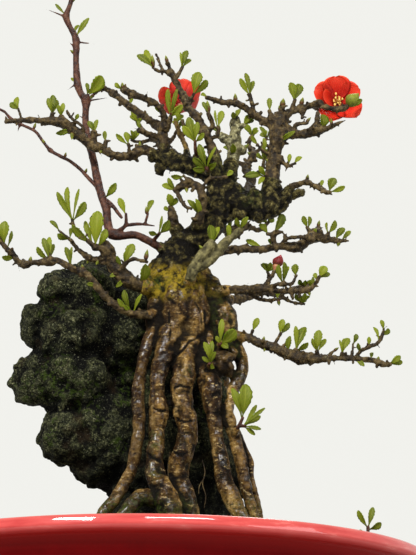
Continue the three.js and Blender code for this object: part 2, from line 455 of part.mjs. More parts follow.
      [-70, 133, -70, 145.5, 5.6, -3], [-72.5, 136, -77.5, 142.5, 4, 1],
      [-69, 131.5, -66.6, 140.5, 1.8, -1],
      [-65, 127, -71.5, 127.5, 3, -2], [-48, 126, -54, 132.5, 3.2, -3], [-48, 126, -51, 137, 3.4, -1],
      [-48, 126, -47.8, 137.5, 3.2, 1], [-48, 126, -45.6, 134, 2.4, 3],
      [-37, 122.3, -39.8, 132.5, 3, -1],
      [-37, 122.3, -36.6, 132.5, 1.8, 1], [-24.5, 113, -29, 114, 2.2, -3],
      [-7, 99.5, -10.5, 111, 3.2, -2],
      [-6, 99.2, -1.6, 109, 1.8, -4], [-9, 100.2, -13.6, 106.5, 2.4, -4],
      [-6.5, 99.3, -11, 103.5, 2.2, -5],
    ],
    "buds": [[-57.5, 124.5, -57, 128, 2, 0], [-31, 120, -31.5, 124, 2.2, 1],
      [-74.5, 139, -75.5, 141.5, 1.8, -2]],
    "thorns": [[-64, 126, -62.5, 119.5, -1], [-20, 108, -23.5, 107.5, -2]],
    "knobs": [[-47.5, 125.5, 2.6], [-60.5, 123.5, 2.3], [-31.5, 120, 2.4], [-66.5, 129, 2],
      [-20, 108, 2.2]],
  },
  "branch_front_grey": {
    "on": "trunk", "bark": "oldWood",
    "stem": [[20, 111, -6, 3], [22.6, 117.5, -15.5, 2.8], [24, 121, -16.5, 2.8], [27, 126, -17, 2.7],
      [30.5, 130.5, -17, 2.7], [34, 134.5, -16, 2.3]],
    "twigs": [[[24.5, 121.5, 0, 2.4], [31, 124.5, 1, 2.4], [37, 131, 3, 2.4], [42, 136.5, 4, 2.2],
      [48.5, 142, 6, 1.4]]],
    "leaves": [[34, 134.5, 32.6, 143.5, 4.6, -2], [34, 134.5, 37, 142.5, 3.2, 1],
      [41, 136.5, 41.6, 143.5, 3, -3],
      [48.5, 142, 51.5, 147.5, 3, -5], [48.5, 142, 45.6, 147, 2.6, -4]],
    "buds": [[30, 130, 27, 133.5, 2.2, -1]],
    "thorns": [],
    "knobs": [[24.2, 121.2, 3.2], [37, 131.2, 2.8], [34, 134.5, 2.6]],
  },
  "branch_right_third": {
    "on": "trunk", "bark": "bark",
    "stem": [[22, 128, 0, 2.6], [31.5, 128.8, 1, 2.1], [36, 129.5, 2, 2], [43.5, 131, 4, 1.9],
      [50, 131.5, 6, 1.9],
      [60, 131.5, 8, 1.9], [67.5, 133, 10, 1.9], [73, 132.5, 11, 2.3], [76.5, 132.5, 12, 2.4],
      [81, 135.5, 13, 2.2],
      [85, 138, 14, 3], [90, 136.5, 15, 1.8], [94, 136, 16, 1.6], [98, 135.5, 17, 1.2],
      [102, 135.5, 18, 0.5]],
    "twigs": [[[65, 132.5, 0, 1.2], [64.2, 138.7, -2, 1.2], [69, 140, -3, 1]],
      [[64.2, 138.7, 0, 1.1], [60.5, 139, -1, 1]],
      [[68, 133, 0, 1.2], [70, 136.3, -3, 1.1], [77.5, 137.5, -4, 1.1], [84, 136.8, -3, 1.1]],
      [[84, 138, 0, 1.4], [80.8, 142.5, -2, 1.1]], [[86, 138.5, 0, 1.1], [86.8, 143, 2, 0.9]],
      [[90.5, 136.5, 0, 1], [92, 140, -2, 0.8]]],
    "leaves": [
      [80.8, 142.5, 79, 148, 3, -1], [80.8, 142.5, 82.2, 147.8, 2.6, 1],
      [92, 140, 95.2, 145.8, 3.4, -1],
      [92, 140, 90.8, 144.8, 1.6, 1], [95, 136, 99.8, 142, 3.8, -1], [98, 135.8, 102.8, 140.5, 2.6, 1],
      [64.2, 139, 69, 149, 5, 1], [60.5, 139, 57, 143.8, 3.4, -1], [60, 131.8, 50.5, 136, 3, 2],
      [64, 133, 62, 136.6, 2.2, 3], [84, 138, 85.6, 141.8, 2.2, -3],
    ],
    "buds": [[79, 134, 78.2, 131, 2, -1], [86.8, 143, 87.2, 146, 2, 0],
      [97, 135.6, 96.4, 132.6, 2.2, 0]],
    "thorns": [[70.5, 136.5, 71, 140.4, -1], [60, 131.5, 56, 127.5, 0]],
    "knobs": [[76, 132.7, 3.2], [84.8, 137.8, 3.6], [64.3, 138.7, 1.8], [73, 132.5, 2.6],
      [50, 131.5, 2.4], [90, 136.5, 2.2]],
  },
  "branch_right_fourth": {
    "on": "trunk", "bark": "bark",
    "stem": [[33, 110, -4, 2.5], [42.6, 111, -9, 2.1], [50, 111, -11, 2.1], [56.5, 111.5, -14, 2.3],
      [62, 111.3, -17, 1.7],
      [67.5, 110.5, -19, 1.4], [75, 110.5, -22, 1.4], [81.5, 111, -25, 1.3],
      [84.5, 113.5, -26, 1.2], [87.5, 118, -28, 1]],
    "twigs": [[[60.5, 111.4, 0, 1.3], [66, 113.8, -4, 1], [73, 114, -5, 0.9], [76, 118.5, -6, 0.8]],
      [[58.5, 111.5, 0, 1.4], [63, 117.5, 2, 1.2], [65, 120.5, 2, 1.1]],
      [[73, 110.5, 0, 1], [74, 106, 0, 0.7]],
      [[50, 111, 0, 1.2], [58.5, 106, 3, 1], [69, 106.8, 4, 0.8]]],
    "leaves": [
      [87.5, 118, 90.6, 122.8, 4.6, -1], [86, 115.5, 84.8, 119.5, 2.4, 0],
      [76, 118.5, 75.2, 124, 3.8, -1],
      [69, 114, 66.6, 123.6, 3, -3], [69, 114, 69.6, 125, 3, -5], [69, 114, 71.8, 122.8, 2.8, -1],
      [66, 106.6, 67, 110, 2.2, 2], [87.5, 118, 92.5, 119.2, 2.8, 1],
    ],
    "buds": [[66.5, 106.6, 67.2, 103, 1.9, 0], [81.5, 111, 82.6, 108, 1.8, 0]],
    "thorns": [[50, 111, 52, 115.5, -1]],
    "knobs": [[56.5, 111.5, 2.8], [50, 111, 2.5], [69, 113.9, 1.6], [81.5, 111, 1.8]],
  },
  "branch_right_long": {
    "on": "trunk", "bark": "bark",
    "stem": [[40, 88, -4, 2.8], [50.3, 87.6, -8, 2.2], [55, 85.5, -9, 2.2], [60, 83.5, -11, 2.2],
      [65, 82, -13, 2.2],
      [70, 79.5, -14, 2.7], [77.5, 77, -16, 3], [83, 76.7, -17, 2.4], [87.5, 76.5, -18, 2],
      [94, 76.8, -19, 1.6],
      [100, 77, -20, 1.4], [107, 76.5, -21, 1.3], [112.5, 76, -22, 1.3], [116.5, 75, -23, 1.4],
      [120, 73.5, -24, 1.4],
      [123, 74, -25, 1]],
    "twigs": [[[52.5, 87, 0, 1.1], [54, 91, -2, 0.9]], [[64, 82.5, 0, 1.1], [68, 89.5, -3, 0.9]],
      [[75.5, 78, 0, 1.3], [75.5, 81.5, -2, 1.1]], [[86.5, 77, 0, 1.2], [86, 81, -2, 1]],
      [[89.5, 77, 0, 1], [95, 80.8, 1, 0.7]], [[98.5, 77, 0, 1], [98.5, 80, -2, 0.9]],
      [[103.5, 77, 0, 0.9], [104, 84.5, 1, 0.7]],
      [[105, 76.7, 0, 1.1], [108.5, 81, -3, 1], [116.5, 84.5, -5, 0.9], [118.5, 88, -5, 0.8],
      [119.5, 92, -5, 0.7]]],
    "leaves": [
      [54, 91, 56.6, 97, 3.4, -1], [68, 89.5, 69, 96.4, 3.6, -1], [68, 89.5, 72.2, 94.4, 3, 1],
      [71.5, 79.5, 72.6, 88, 3, -3],
      [75.5, 81.5, 75.3, 93, 2.8, -1], [75.5, 81.5, 80.2, 92.5, 4.8, 1],
      [75.5, 81.5, 81.6, 84.6, 3, -4],
      [86, 81, 87, 91, 4.4, 0], [86, 81, 90.4, 86.5, 2.6, 2], [86, 81, 83.6, 86.8, 2.2, -3],
      [98.5, 80, 97.2, 86, 1.6, -1],
      [98.5, 80, 101.8, 87, 3.8, 1], [104, 84.5, 105.8, 89, 2.6, 0], [107.5, 80, 106.4, 84.4, 2.2, -3],
      [112, 82.5, 112, 87.6, 2.2, -1], [117, 85.5, 114.2, 92.5, 1.8, 1], [118.5, 88, 122.2, 91.4, 3, 1],
      [119.5, 92, 118, 96, 2.4, -1], [105, 76, 109.6, 73, 2.4, -2], [122.5, 74, 127.8, 78, 3.2, -1],
      [123, 74, 128.8, 75, 3, 1],
      [113, 76, 113.4, 79.8, 2, 2],
    ],
    "buds": [[59, 84, 59.6, 88, 2, 0], [60.5, 83, 59.4, 80, 1.8, -1],
      [116.5, 75, 116.8, 78, 1.9, 0], [95, 80.8, 97, 82.4, 1.6, 0]],
    "thorns": [[66, 81.5, 63.5, 77.5, 0], [94, 76.8, 95, 73, 0]],
    "knobs": [[67.5, 80, 2.6], [71.8, 80, 2.8], [77.5, 77, 3.5], [83, 76.8, 2.9], [60, 83.5, 2.7],
      [107, 76.6, 1.9],
      [118, 74.5, 1.9], [75.5, 80, 1.8]],
  },
  "tuft_burr": {
    "on": "trunk", "bark": "leaf",
    "stem": [[35, 72, -10, 1.4], [32.6, 73.5, -18, 1.2], [32.2, 74.5, -20, 1]],
    "twigs": [],
    "leaves": [[32.2, 74.5, 29.5, 85, 3.2, -3], [32.2, 74.5, 33.6, 85.5, 3, -2],
      [32.2, 74.5, 35.4, 80, 2.4, -4],
      [32.2, 74.5, 28.6, 77.5, 2.2, -2], [32.2, 74.5, 34.5, 72, 2.4, -4]],
    "buds": [],
    "thorns": [],
    "knobs": [],
  },
  "tuft_hollow": {
    "on": "trunk", "bark": "leaf",
    "stem": [[39, 84, -5, 1.4], [37.6, 83.6, -13.4, 1.2], [37.8, 84, -16, 1]],
    "twigs": [],
    "leaves": [[37.8, 84, 38.6, 96.5, 3.2, -2], [37.8, 84, 45.4, 91, 6.4, -3],
      [37.8, 84, 41.6, 82, 3, -4],
      [37.8, 84, 35.6, 88, 2.2, -1]],
    "buds": [],
    "thorns": [],
    "knobs": [],
  },
  "tuft_root_foot": {
    "on": "trunk", "bark": "leaf",
    "stem": [[44.6, 38, -13, 1.2], [46.4, 42, -18, 1], [48, 45, -19, 0.9], [49, 47.5, -20, 0.8]],
    "twigs": [[[46.8, 43, 0, 0.9], [50.5, 43, -2, 0.8]]],
    "leaves": [[49, 47.5, 50.4, 64, 6.8, -2], [49, 47.5, 43.4, 62, 4, -3], [50.5, 43, 60, 52, 2, -2],
      [50.5, 43, 55.8, 53.5, 2.4, 1], [50.5, 43, 57.8, 48, 2.6, 2], [50.5, 43, 58, 41.4, 2.2, -1],
      [50.5, 43, 55, 38.5, 2.2, 1]],
    "buds": [],
    "thorns": [],
    "knobs": [],
  },
  "branch_back_high": {
    "on": "trunk", "bark": "bark",
    "stem": [[52, 154, 6, 3.2], [51.5, 156.5, 17, 2.8], [51, 160, 24, 2.5], [53, 166, 33, 2.2],
      [50.5, 172, 42, 1.9],
      [54, 178, 50, 1.7], [52, 184, 57, 1.4], [54, 189, 62, 1]],
    "twigs": [[[52.5, 167, 0, 1.3], [58, 171, 6, 1.1], [60, 177, 11, 0.9]], [[51, 172.5, 0, 1.3],
      [45, 176, 5, 1.1],
      [42, 181, 9, 0.9]], [[53.5, 178.5, 0, 1.2], [59, 183, 3, 1], [61, 188, 6, 0.8]]],
    "leaves": [],
    "buds": [[54, 166, 50, 168, 2.2, 0], [54, 178, 51, 180, 2, -2]],
    "thorns": [[50.5, 172, 55, 171, 3]],
    "knobs": [[53, 166, 2.7], [50.8, 172, 2.4], [53.8, 178, 2.2]],
    "tufts": [[54, 189, 3, 8], [60, 177, 3, 7.5], [42, 181, 3, 7.5], [61, 188, 3, 7]],
  },
  "branch_back_left": {
    "on": "trunk", "bark": "bark",
    "stem": [[20, 173, 4, 2.8], [18.5, 175.5, 13, 2.4], [14, 179, 21, 2.1], [9, 182, 31, 1.9],
      [5, 187, 40, 1.6],
      [0, 190, 48, 1.3], [-4, 195, 54, 1]],
    "twigs": [[[9.5, 182, 0, 1.3], [14, 187, 6, 1.1], [17, 193, 9, 0.9]], [[5, 187, 0, 1.2],
      [-2, 185, 6, 1],
      [-7, 186, 10, 0.8]]],
    "leaves": [],
    "buds": [[14, 179, 12, 175.5, 2, 0]],
    "thorns": [[5, 187, 8, 191, 2]],
    "knobs": [[9, 182, 2.5], [5, 187, 2.2], [14, 179, 2.6]],
    "tufts": [[-4, 195, 3, 8], [17, 193, 3, 7.5], [-7, 186, 3, 7]],
  },
  "branch_back_low": {
    "on": "trunk", "bark": "bark",
    "stem": [[28, 140, 2, 3], [31, 141.5, 13, 2.6], [36.5, 142.5, 22, 2.2], [44, 140, 32, 1.9],
      [50, 143, 43, 1.6],
      [57, 141, 51, 1.3], [62, 145, 57, 0.9]],
    "twigs": [[[44, 140, 0, 1.3], [46, 147, 5, 1.1], [44, 152, 10, 0.8]], [[50, 143, 0, 1.2],
      [46, 138, 8, 1],
      [40, 139, 14, 0.8]]],
    "leaves": [],
    "buds": [[36.5, 142.5, 35, 146, 2.2, 1]],
    "thorns": [[50, 143, 54, 147, 1]],
    "knobs": [[44, 140, 2.5], [50, 143, 2.1]],
    "tufts": [[62, 145, 3, 8], [44, 152, 3, 7.5], [40, 139, 3, 7]],
  },
  "branch_back_right": {
    "on": "trunk", "bark": "bark",
    "stem": [[36, 104, 0, 2.8], [42.5, 106, 9, 2.4], [50, 107, 18, 2.1], [58, 110, 28, 1.8],
      [67, 109, 38, 1.5],
      [75, 112, 46, 1.2], [82, 112, 52, 0.9]],
    "twigs": [[[58, 110, 0, 1.2], [62, 115, 6, 1], [61, 121, 10, 0.8]], [[67, 109, 0, 1.1],
      [73, 105, 4, 0.9],
      [80, 104, 7, 0.7]]],
    "leaves": [],
    "buds": [[50, 107, 50, 111, 2.2, 0]],
    "thorns": [[67, 109, 69, 113.5, 1]],
    "knobs": [[58, 110, 2.3], [67, 109, 2], [50, 107, 2.5]],
    "tufts": [[82, 112, 3, 8], [61, 121, 3, 7.5], [80, 104, 3, 7]],
  },
  "sucker_in_soil": {
    "on": "soil", "bark": "leaf",
    "stem": [[111.5, -34, -55, 0.9], [111.5, -22, -55, 0.9], [111.5, -14, -55, 0.9],
      [111.5, -7, -55, 0.8]],
    "twigs": [],
    "leaves": [[111.5, -8, 106.4, 0.8, 2.8, -1], [111.5, -8, 114, 2.4, 3, 1],
      [111.5, -9, 118.2, -5.5, 3.2, 0],
      [111.5, -12, 106, -10, 2.4, 3]],
    "buds": [],
    "thorns": [],
    "knobs": [],
  },
};

// Blooms: the calyx starts at "foot", the petals open round "heart" along "axis" (across, up, depth),
// and a petal is [turn in degrees, length, width, rise towards the axis in degrees]
const BLOOMS = {
  "bloom_front": {
    "foot": [94.4, 200.9, 22], "heart": [96.1, 202.6, 16.4], "axis": [0.06, 0.3, -1],
    "petals": [[98, 12.4, 13, 20], [30, 12.4, 12, 22], [-48, 12.8, 12, 20], [-112, 12.4, 12, 20],
      [166, 12, 12, 18]],
    "stamens": 7,
  },
  "bloom_rear": {
    "foot": [20.5, 201.8, 4.1], "heart": [19.4, 204.6, 11.5], "axis": [-0.2, 0.62, 0.75],
    "petals": [[96, 11.5, 12, 40], [24, 12.8, 12, 38], [-48, 11.5, 11.5, 44], [-120, 10.5, 11, 44],
      [168, 12, 12.5, 34]],
    "stamens": 6,
  },
};

// Closed flower bud at the end of its spur
const FLOWER_BUD = { "foot": [65.3, 121.05, -12.9], "tip": [68, 128.7, -12.2], "width": 5.4 };

// A seeded draw between 0 and 1, the same on every run
function makeDraw(seed) {
  let state = seed;
  return () => {
    state = (state * 1664525 + 1013904223) % 4294967296;
    return state / 4294967296;
  };
}

// The real place of a point given as seen from the front
function place(across, up, depth) {
  const rise = up - AIM_UP;
  const eye = new THREE.Vector3(
    AIM_ACROSS,
    -VIEW_DISTANCE * Math.cos(VIEW_TILT),
    AIM_HEIGHT - VIEW_DISTANCE * Math.sin(VIEW_TILT),
  );
  const onPlane = new THREE.Vector3(
    across,
    -rise * Math.sin(VIEW_TILT),
    AIM_HEIGHT + rise * Math.cos(VIEW_TILT),
  );
  return eye.clone().lerp(onPlane, (depth - eye.y) / (onPlane.y - eye.y));
}

// A solid from a closed geometry whose points are moved by bend
function solidFrom(geometry, bend) {
  geometry.deleteAttribute('normal');
  geometry.deleteAttribute('uv');
  const merged = mergeVertices(geometry);
  const position = merged.attributes.position;
  const vertProperties = new Float32Array(position.count * 3);
  const triVerts = Uint32Array.from(merged.index.array);
  const corners = [];
  for (let i = 0; i < position.count; i += 1) {
    const moved = bend(new THREE.Vector3().fromBufferAttribute(position, i), i);
    moved.toArray(vertProperties, i * 3);
    corners.push(moved);
  }
  let volume = 0;
  for (let i = 0; i < triVerts.length; i += 3) {
    const [a, b, c] = [0, 1, 2].map((k) => corners[triVerts[i + k]]);
    volume += a.dot(b.clone().cross(c));
  }
  if (volume < 0) {
    for (let i = 0; i < triVerts.length; i += 3) {
      [triVerts[i + 1], triVerts[i + 2]] = [triVerts[i + 2], triVerts[i + 1]];
    }
  }
  return new wasm.Manifold(new wasm.Mesh({ numProp: 3, vertProperties, triVerts }));
}

// The largest body of a solid, without the scraps that a cut leaves
function largestBody(solid) {
  const bodies = solid.decompose();
  return bodies.reduce((best, body) => (body.volume() > best.volume() ? body : best));
}

function meshOf(solid, name, colour, roughness) {
  const { numProp, vertProperties, triVerts } = solid.getMesh();
  const position = new Float32Array((vertProperties.length / numProp) * 3);
  for (let i = 0; i < position.length / 3; i += 1) {
    position.set(vertProperties.subarray(i * numProp, i * numProp + 3), i * 3);
  }
  const geometry = new THREE.BufferGeometry();
  geometry.setAttribute('position', new THREE.BufferAttribute(position, 3));
  geometry.setIndex(new THREE.BufferAttribute(triVerts, 1));
  const material = new THREE.MeshStandardMaterial({ color: colour, roughness, metalness: 0 });
  const mesh = new THREE.Mesh(geometry, material);
  mesh.name = name;
  return mesh;
}

// Section frames along a row of places, turned as little as possible from one to the next
function sectionsOf(rows) {
  const centres = rows.map(([across, up, depth]) => place(across, up, depth));
  let side = null;
  return centres.map((centre, i) => {
    const ahead = centres[Math.min(i + 1, centres.length - 1)];
    const behind = centres[Math.max(i - 1, 0)];
    const onward = ahead.clone().sub(centre).normalize();
    const along = onward.add(centre.clone().sub(behind).normalize()).normalize();
    const start = side ?? new THREE.Vector3(0.3, -1, 0.2);
    side = start.clone().addScaledVector(along, -start.dot(along)).normalize();
    return { centre, along, side, front: along.clone().cross(side), radius: rows[i][3] };
  });
}

// A tapered limb through its sections
function limb(sections, sides, extra = 0) {
  const steps = sections.length - 1;
  const blank = new THREE.CylinderGeometry(1, 1, steps, sides, steps);
  return solidFrom(blank, (point) => {
    const index = Math.round(steps / 2 - point.y);
    const section = sections[index];
    const radius = section.radius + extra;
    const overrun = (index === 0 ? -extra : 0) + (index === steps ? extra : 0);
    return section.centre.clone()
      .addScaledVector(section.along, overrun)
      .addScaledVector(section.side, point.x * radius)
      .addScaledVector(section.front, point.z * radius);
  });
}

// Sides of a limb, more where it is thick: each pair is the least radius and its number of sides
const LIMB_SIDES = [[8, 7], [4.6, 6], [2.15, 5], [1.35, 4], [0, 3]];

function sidesFor(rows) {
  const radius = Math.max(...rows.map((row) => row[3]));
  return LIMB_SIDES.find(([least]) => radius > least)[1];
}

function knob(across, up, depth, radius, detail = 0) {
  const centre = place(across, up, depth);
  return solidFrom(new THREE.IcosahedronGeometry(radius, detail), (point) => point.add(centre));
}

// Directions of a leaf, bud or petal from its base to its tip: its length, its width and its face
function leafFrame(base, tip, roll) {
  const along = tip.clone().sub(base);
  const length = along.length();
  along.normalize();
  const across = along.clone().cross(new THREE.Vector3(0, 1, 0.3)).normalize();
  across.applyAxisAngle(along, roll);
  return { along, across, face: along.clone().cross(across), length };
}

// The station along a blade that a point of its blank belongs to
function stationOf(point, segments) {
  return Math.round((Math.acos(THREE.MathUtils.clamp(point.y, -1, 1)) * segments) / Math.PI);
}

// A blade folded up along its rib, with a waved and notched edge and a stalk
const LEAF_OUTLINE = { stations: [0, 0.2, 0.52, 0.84, 1], widths: [0, 0, 0.8, 1, 0] };
const NARROW_LEAF_OUTLINE = { stations: [0, 0.26, 0.76, 1], widths: [0, 0, 1, 0] };
const LEAF_FOLD = 0.34;

function leafBlade(base, tip, width, roll, draw) {
  const { along, across, face, length } = leafFrame(base, tip, roll);
  const wave = 0.5 - draw();
  const arch = length * (0.04 + 0.1 * draw());
  const { stations, widths } = width > NARROW_LEAF_WIDTH ? LEAF_OUTLINE : NARROW_LEAF_OUTLINE;
  const segments = stations.length - 1;
  const columns = width > BROAD_LEAF_WIDTH ? 4 : 3;
  const blank = new THREE.SphereGeometry(1, columns, segments);
  return solidFrom(blank, (point) => {
    const station = stationOf(point, segments);
    const ring = Math.hypot(point.x, point.z);
    const edge = ring > 0.01 ? point.x / ring : 0;
    const skin = ring > 0.01 ? point.z / ring : 0;
    const s = stations[station];
    const half = Math.max((widths[station] * width) / 2, STALK_WIDTH / 2);
    const thickness = station > 1 ? BLADE_THICKNESS : STALK_WIDTH;
    const isBlade = station > 1 && station < segments ? 1 : 0;
    const flutter = isBlade * edge * wave * half * (station % 2 ? 0.7 : -0.7);
    const lift = isBlade * Math.abs(edge) * half * LEAF_FOLD + flutter + arch * Math.sin(Math.PI * s);
    return base.clone()
      .addScaledVector(along, s * length)
      .addScaledVector(across, edge * half)
      .addScaledVector(face, lift + (skin * thickness) / 2);
  });
}

// A pointed bud
function leafBud(base, tip, width) {
  const { along, across, face, length } = leafFrame(base, tip, 0.4);
  return solidFrom(new THREE.SphereGeometry(1, 3, 3), (point) => base.clone()
    .addScaledVector(along, ((1 - point.y) / 2) * length)
    .addScaledVector(across, (point.x * width) / 2)
    .addScaledVector(face, (point.z * width) / 2));
}

function thorn(base, tip) {
  const { along, across, face, length } = leafFrame(base, tip, 0);
  return solidFrom(new THREE.ConeGeometry(1, 1, 3), (point) => base.clone()
    .addScaledVector(along, (point.y + 0.5) * length)
    .addScaledVector(across, point.x * THORN_RADIUS)
    .addScaledVector(face, point.z * THORN_RADIUS));
}

// The nearest point of the wood, as seen from the front
function nearestWood(lines, across, up) {
  let best = null;
  lines.forEach((rows) => {
    for (let i = 0; i + 1 < rows.length; i += 1) {
      const [a, b] = [rows[i], rows[i + 1]];
      const [da, db] = [b[0] - a[0], b[1] - a[1]];
      const span = da * da + db * db + 1e-9;
      const inset = Math.min(ROOTING_DEPTH / Math.sqrt(span), 0.5);
      const first = i === 0 ? inset : 0;
      const last = i + 2 === rows.length ? 1 - inset : 1;
      const t = THREE.MathUtils.clamp(((across - a[0]) * da + (up - a[1]) * db) / span, first, last);
      const point = a.map((value, k) => value + (b[k] - value) * t);
      const distance = Math.hypot(across - point[0], up - point[1]);
      if (!best || distance < best.distance) {
        best = { point, distance };
      }
    }
  });
  return best.point;
}

// All the wood of a stem, as rows of [across, up, depth, radius]: the stem past its joint, then its twigs
function woodLines(plan) {
  const lines = [plan.stem.slice(1)];
  plan.twigs.forEach((twig) => {
    const start = nearestWood(lines, twig[0][0], twig[0][1]);
    lines.push(twig.map(([across, up, lean, radius], i) => (
      i === 0 ? [start[0], start[1], start[2], radius] : [across, up, start[2] + lean, radius]
    )));
  });
  return lines;
}

// The two parts of a stem at its joint: the stub that its parent keeps, and the stem beyond the gap
function stemParts(plan) {
  const sections = sectionsOf(plan.stem);
  const stub = [sections[0], sections[1]];
  const { centre, along } = sections[1];
  const start = { ...sections[1], centre: centre.clone().addScaledVector(along, CLEARANCE) };
  return { stub, beyond: [start, ...sections.slice(2)] };
}

// A line's rows with the radius raised where a knob sits on them
function swollen(rows, knobs) {
  return rows.map(([across, up, depth, radius], i) => {
    const near = knobs.filter((spot) => i > 1 && Math.hypot(spot[0] - across, spot[1] - up) < KNOB_REACH);
    return [across, up, depth, Math.max(radius, ...near.map((spot) => spot[2]))];
  });
}

function leafyStem(plan, seed) {
  const draw = makeDraw(seed);
  const lines = woodLines(plan);
  const stem = { ...plan, stem: swollen(plan.stem, plan.knobs) };
  const parts = [limb(stemParts(stem).beyond, sidesFor(plan.stem))];
  lines.slice(1).forEach((line) => {
    const rows = swollen(line, plan.knobs);
    parts.push(limb(sectionsOf(rows), sidesFor(rows)));
  });
  // The two ends of a leaf, bud or thorn, seated on the nearest wood
  const ends = (baseAcross, baseUp, tipAcross, tipUp, lean) => {
    const [across, up, depth] = nearestWood(lines, baseAcross, baseUp);
    return [place(across, up, depth), place(tipAcross, tipUp, depth + lean)];
  };
  plan.leaves.filter((leaf) => leaf[4] >= SMALLEST_LEAF_WIDTH).forEach((leaf) => {
    const [baseAcross, baseUp, tipAcross, tipUp, width, lean] = leaf;
    const [base, tip] = ends(baseAcross, baseUp, tipAcross, tipUp, lean);
    const roll = (draw() - 0.5) * LEAF_ROLL;
    parts.push(leafBlade(base, tip, width / Math.cos(roll), roll, draw));
  });
  plan.buds.filter((bud) => bud[4] >= SMALLEST_BUD_WIDTH).forEach((bud) => {
    const [baseAcross, baseUp, tipAcross, tipUp, width, lean] = bud;
    parts.push(leafBud(...ends(baseAcross, baseUp, tipAcross, tipUp, lean), width));
  });
  plan.thorns.forEach((spine) => parts.push(thorn(...ends(...spine))));
  (plan.tufts ?? []).forEach(([across, up, count, length]) => {
    const foot = place(...nearestWood(lines, across, up).slice(0, 3));
    for (let i = 0; i < count; i += 1) {
      const turn = (i / count + draw() * 0.15) * 2 * Math.PI;
      const reach = length * (0.8 + 0.4 * draw());
      const tip = foot.clone().add(new THREE.Vector3(
        Math.cos(turn) * reach * 0.6,
        Math.sin(turn) * reach * 0.6,
        reach * (0.55 + 0.3 * draw()),
      ));
      parts.push(leafBlade(foot, tip, length * TUFT_LEAF_WIDTH, (draw() - 0.5) * LEAF_ROLL, draw));
    }
  });
  return wasm.Manifold.union(parts);
}

// Stubs that a piece keeps for the stems that grow from it
function stubsOn(parent, extra = 0) {
  return Object.values(STEMS)
    .filter((plan) => plan.on === parent)
    .map((plan) => limb(stemParts(plan).stub, sidesFor(plan.stem), extra));
}

// The tree's wood, thicker all round by extra where it is used to cut its neighbours
function trunkSolid(extra = 0) {
  const wood = TRUNK.map((rows) => limb(sectionsOf(rows), sidesFor(rows), extra));
  const burrs = BURRS.map(([across, up, depth, radius]) => knob(across, up, depth, radius + extra));
  const solid = wasm.Manifold.union([...wood, ...burrs, ...stubsOn('trunk', extra)]);
  return extra > 0 ? solid : solid.subtract(knob(...KNOT_HOLE));
}

function rockSolid(extra = 0) {
  const lumps = ROCK_LUMPS.map(([across, up, depth, radius, stretch], index) => {
    const draw = makeDraw(71 + index * 13);
    const centre = place(across, up, depth);
    return solidFrom(new THREE.IcosahedronGeometry(1, ROCK_DETAIL), (point) => {
      const rough = 1 + ROCK_ROUGHNESS * (draw() - 0.55);
      point.multiplyScalar(radius * rough + extra);
      point.z *= stretch;
      return point.add(centre);
    });
  });
  return wasm.Manifold.union(lumps);
}

function turned(profile, facets) {
  const points = profile.map(([radius, height]) => new THREE.Vector2(radius, height));
  return solidFrom(new THREE.LatheGeometry(points, facets), (point) => (
    new THREE.Vector3(point.x, -point.z, point.y)
  ));
}

function upright(radius, height, base, across, away, facets) {
  return solidFrom(new THREE.CylinderGeometry(radius, radius, height, facets), (point) => (
    new THREE.Vector3(across + point.x, away - point.z, base + height / 2 + point.y)
  ));
}

function block(width, length, height, across, away, base) {
  return solidFrom(new THREE.BoxGeometry(width, length, height), (point) => (
    point.add(new THREE.Vector3(across, away, base + height / 2))
  ));
}

// Inner wall of the pot from the floor up, shared by the pot and the soil
const INNER_WALL = [
  [FLOOR_RADIUS, FLOOR_HEIGHT],
  [INNER_RADIUS - 10, FLOOR_HEIGHT + 9],
  [INNER_RADIUS, FLOOR_HEIGHT + 30],
];

function potSolid() {
  const lipBase = POT_HEIGHT - LIP_HEIGHT;
  const bowl = turned([
    [0, FOOT_HEIGHT - 2],
    [FOOT_INNER_RADIUS, FOOT_HEIGHT - 2],
    [FOOT_INNER_RADIUS, 0],
    [FOOT_OUTER_RADIUS, 0],
    [FOOT_OUTER_RADIUS + 1, FOOT_HEIGHT - 1],
    [WALL_RADIUS - 10, FOOT_HEIGHT + 13],
    [WALL_RADIUS, lipBase - 8],
    [WALL_RADIUS + 1, lipBase],
    [POT_RADIUS, lipBase + 2],
    [POT_RADIUS, POT_HEIGHT - 2.6],
    [POT_RADIUS - 2.6, POT_HEIGHT],
    [INNER_RADIUS + 2, POT_HEIGHT - 1],
    ...INNER_WALL.slice().reverse(),
    [0, FLOOR_HEIGHT],
  ], POT_FACETS);
  const cuts = [-1, 1].map((side) => upright(DRAIN_RADIUS, 30, -5, side * DRAIN_OFFSET, 0, 20));
  for (let i = 0; i < FOOT_NOTCHES; i += 1) {
    const middle = (FOOT_OUTER_RADIUS + FOOT_INNER_RADIUS) / 2;
    const notch = block(FOOT_OUTER_RADIUS, FOOT_NOTCH_WIDTH, FOOT_HEIGHT - 1, 0, 0, -1);
    cuts.push(notch.translate(middle, 0, 0).rotate(0, 0, 30 + (360 * i) / FOOT_NOTCHES));
  }
  return bowl.subtract(wasm.Manifold.union(cuts));
}

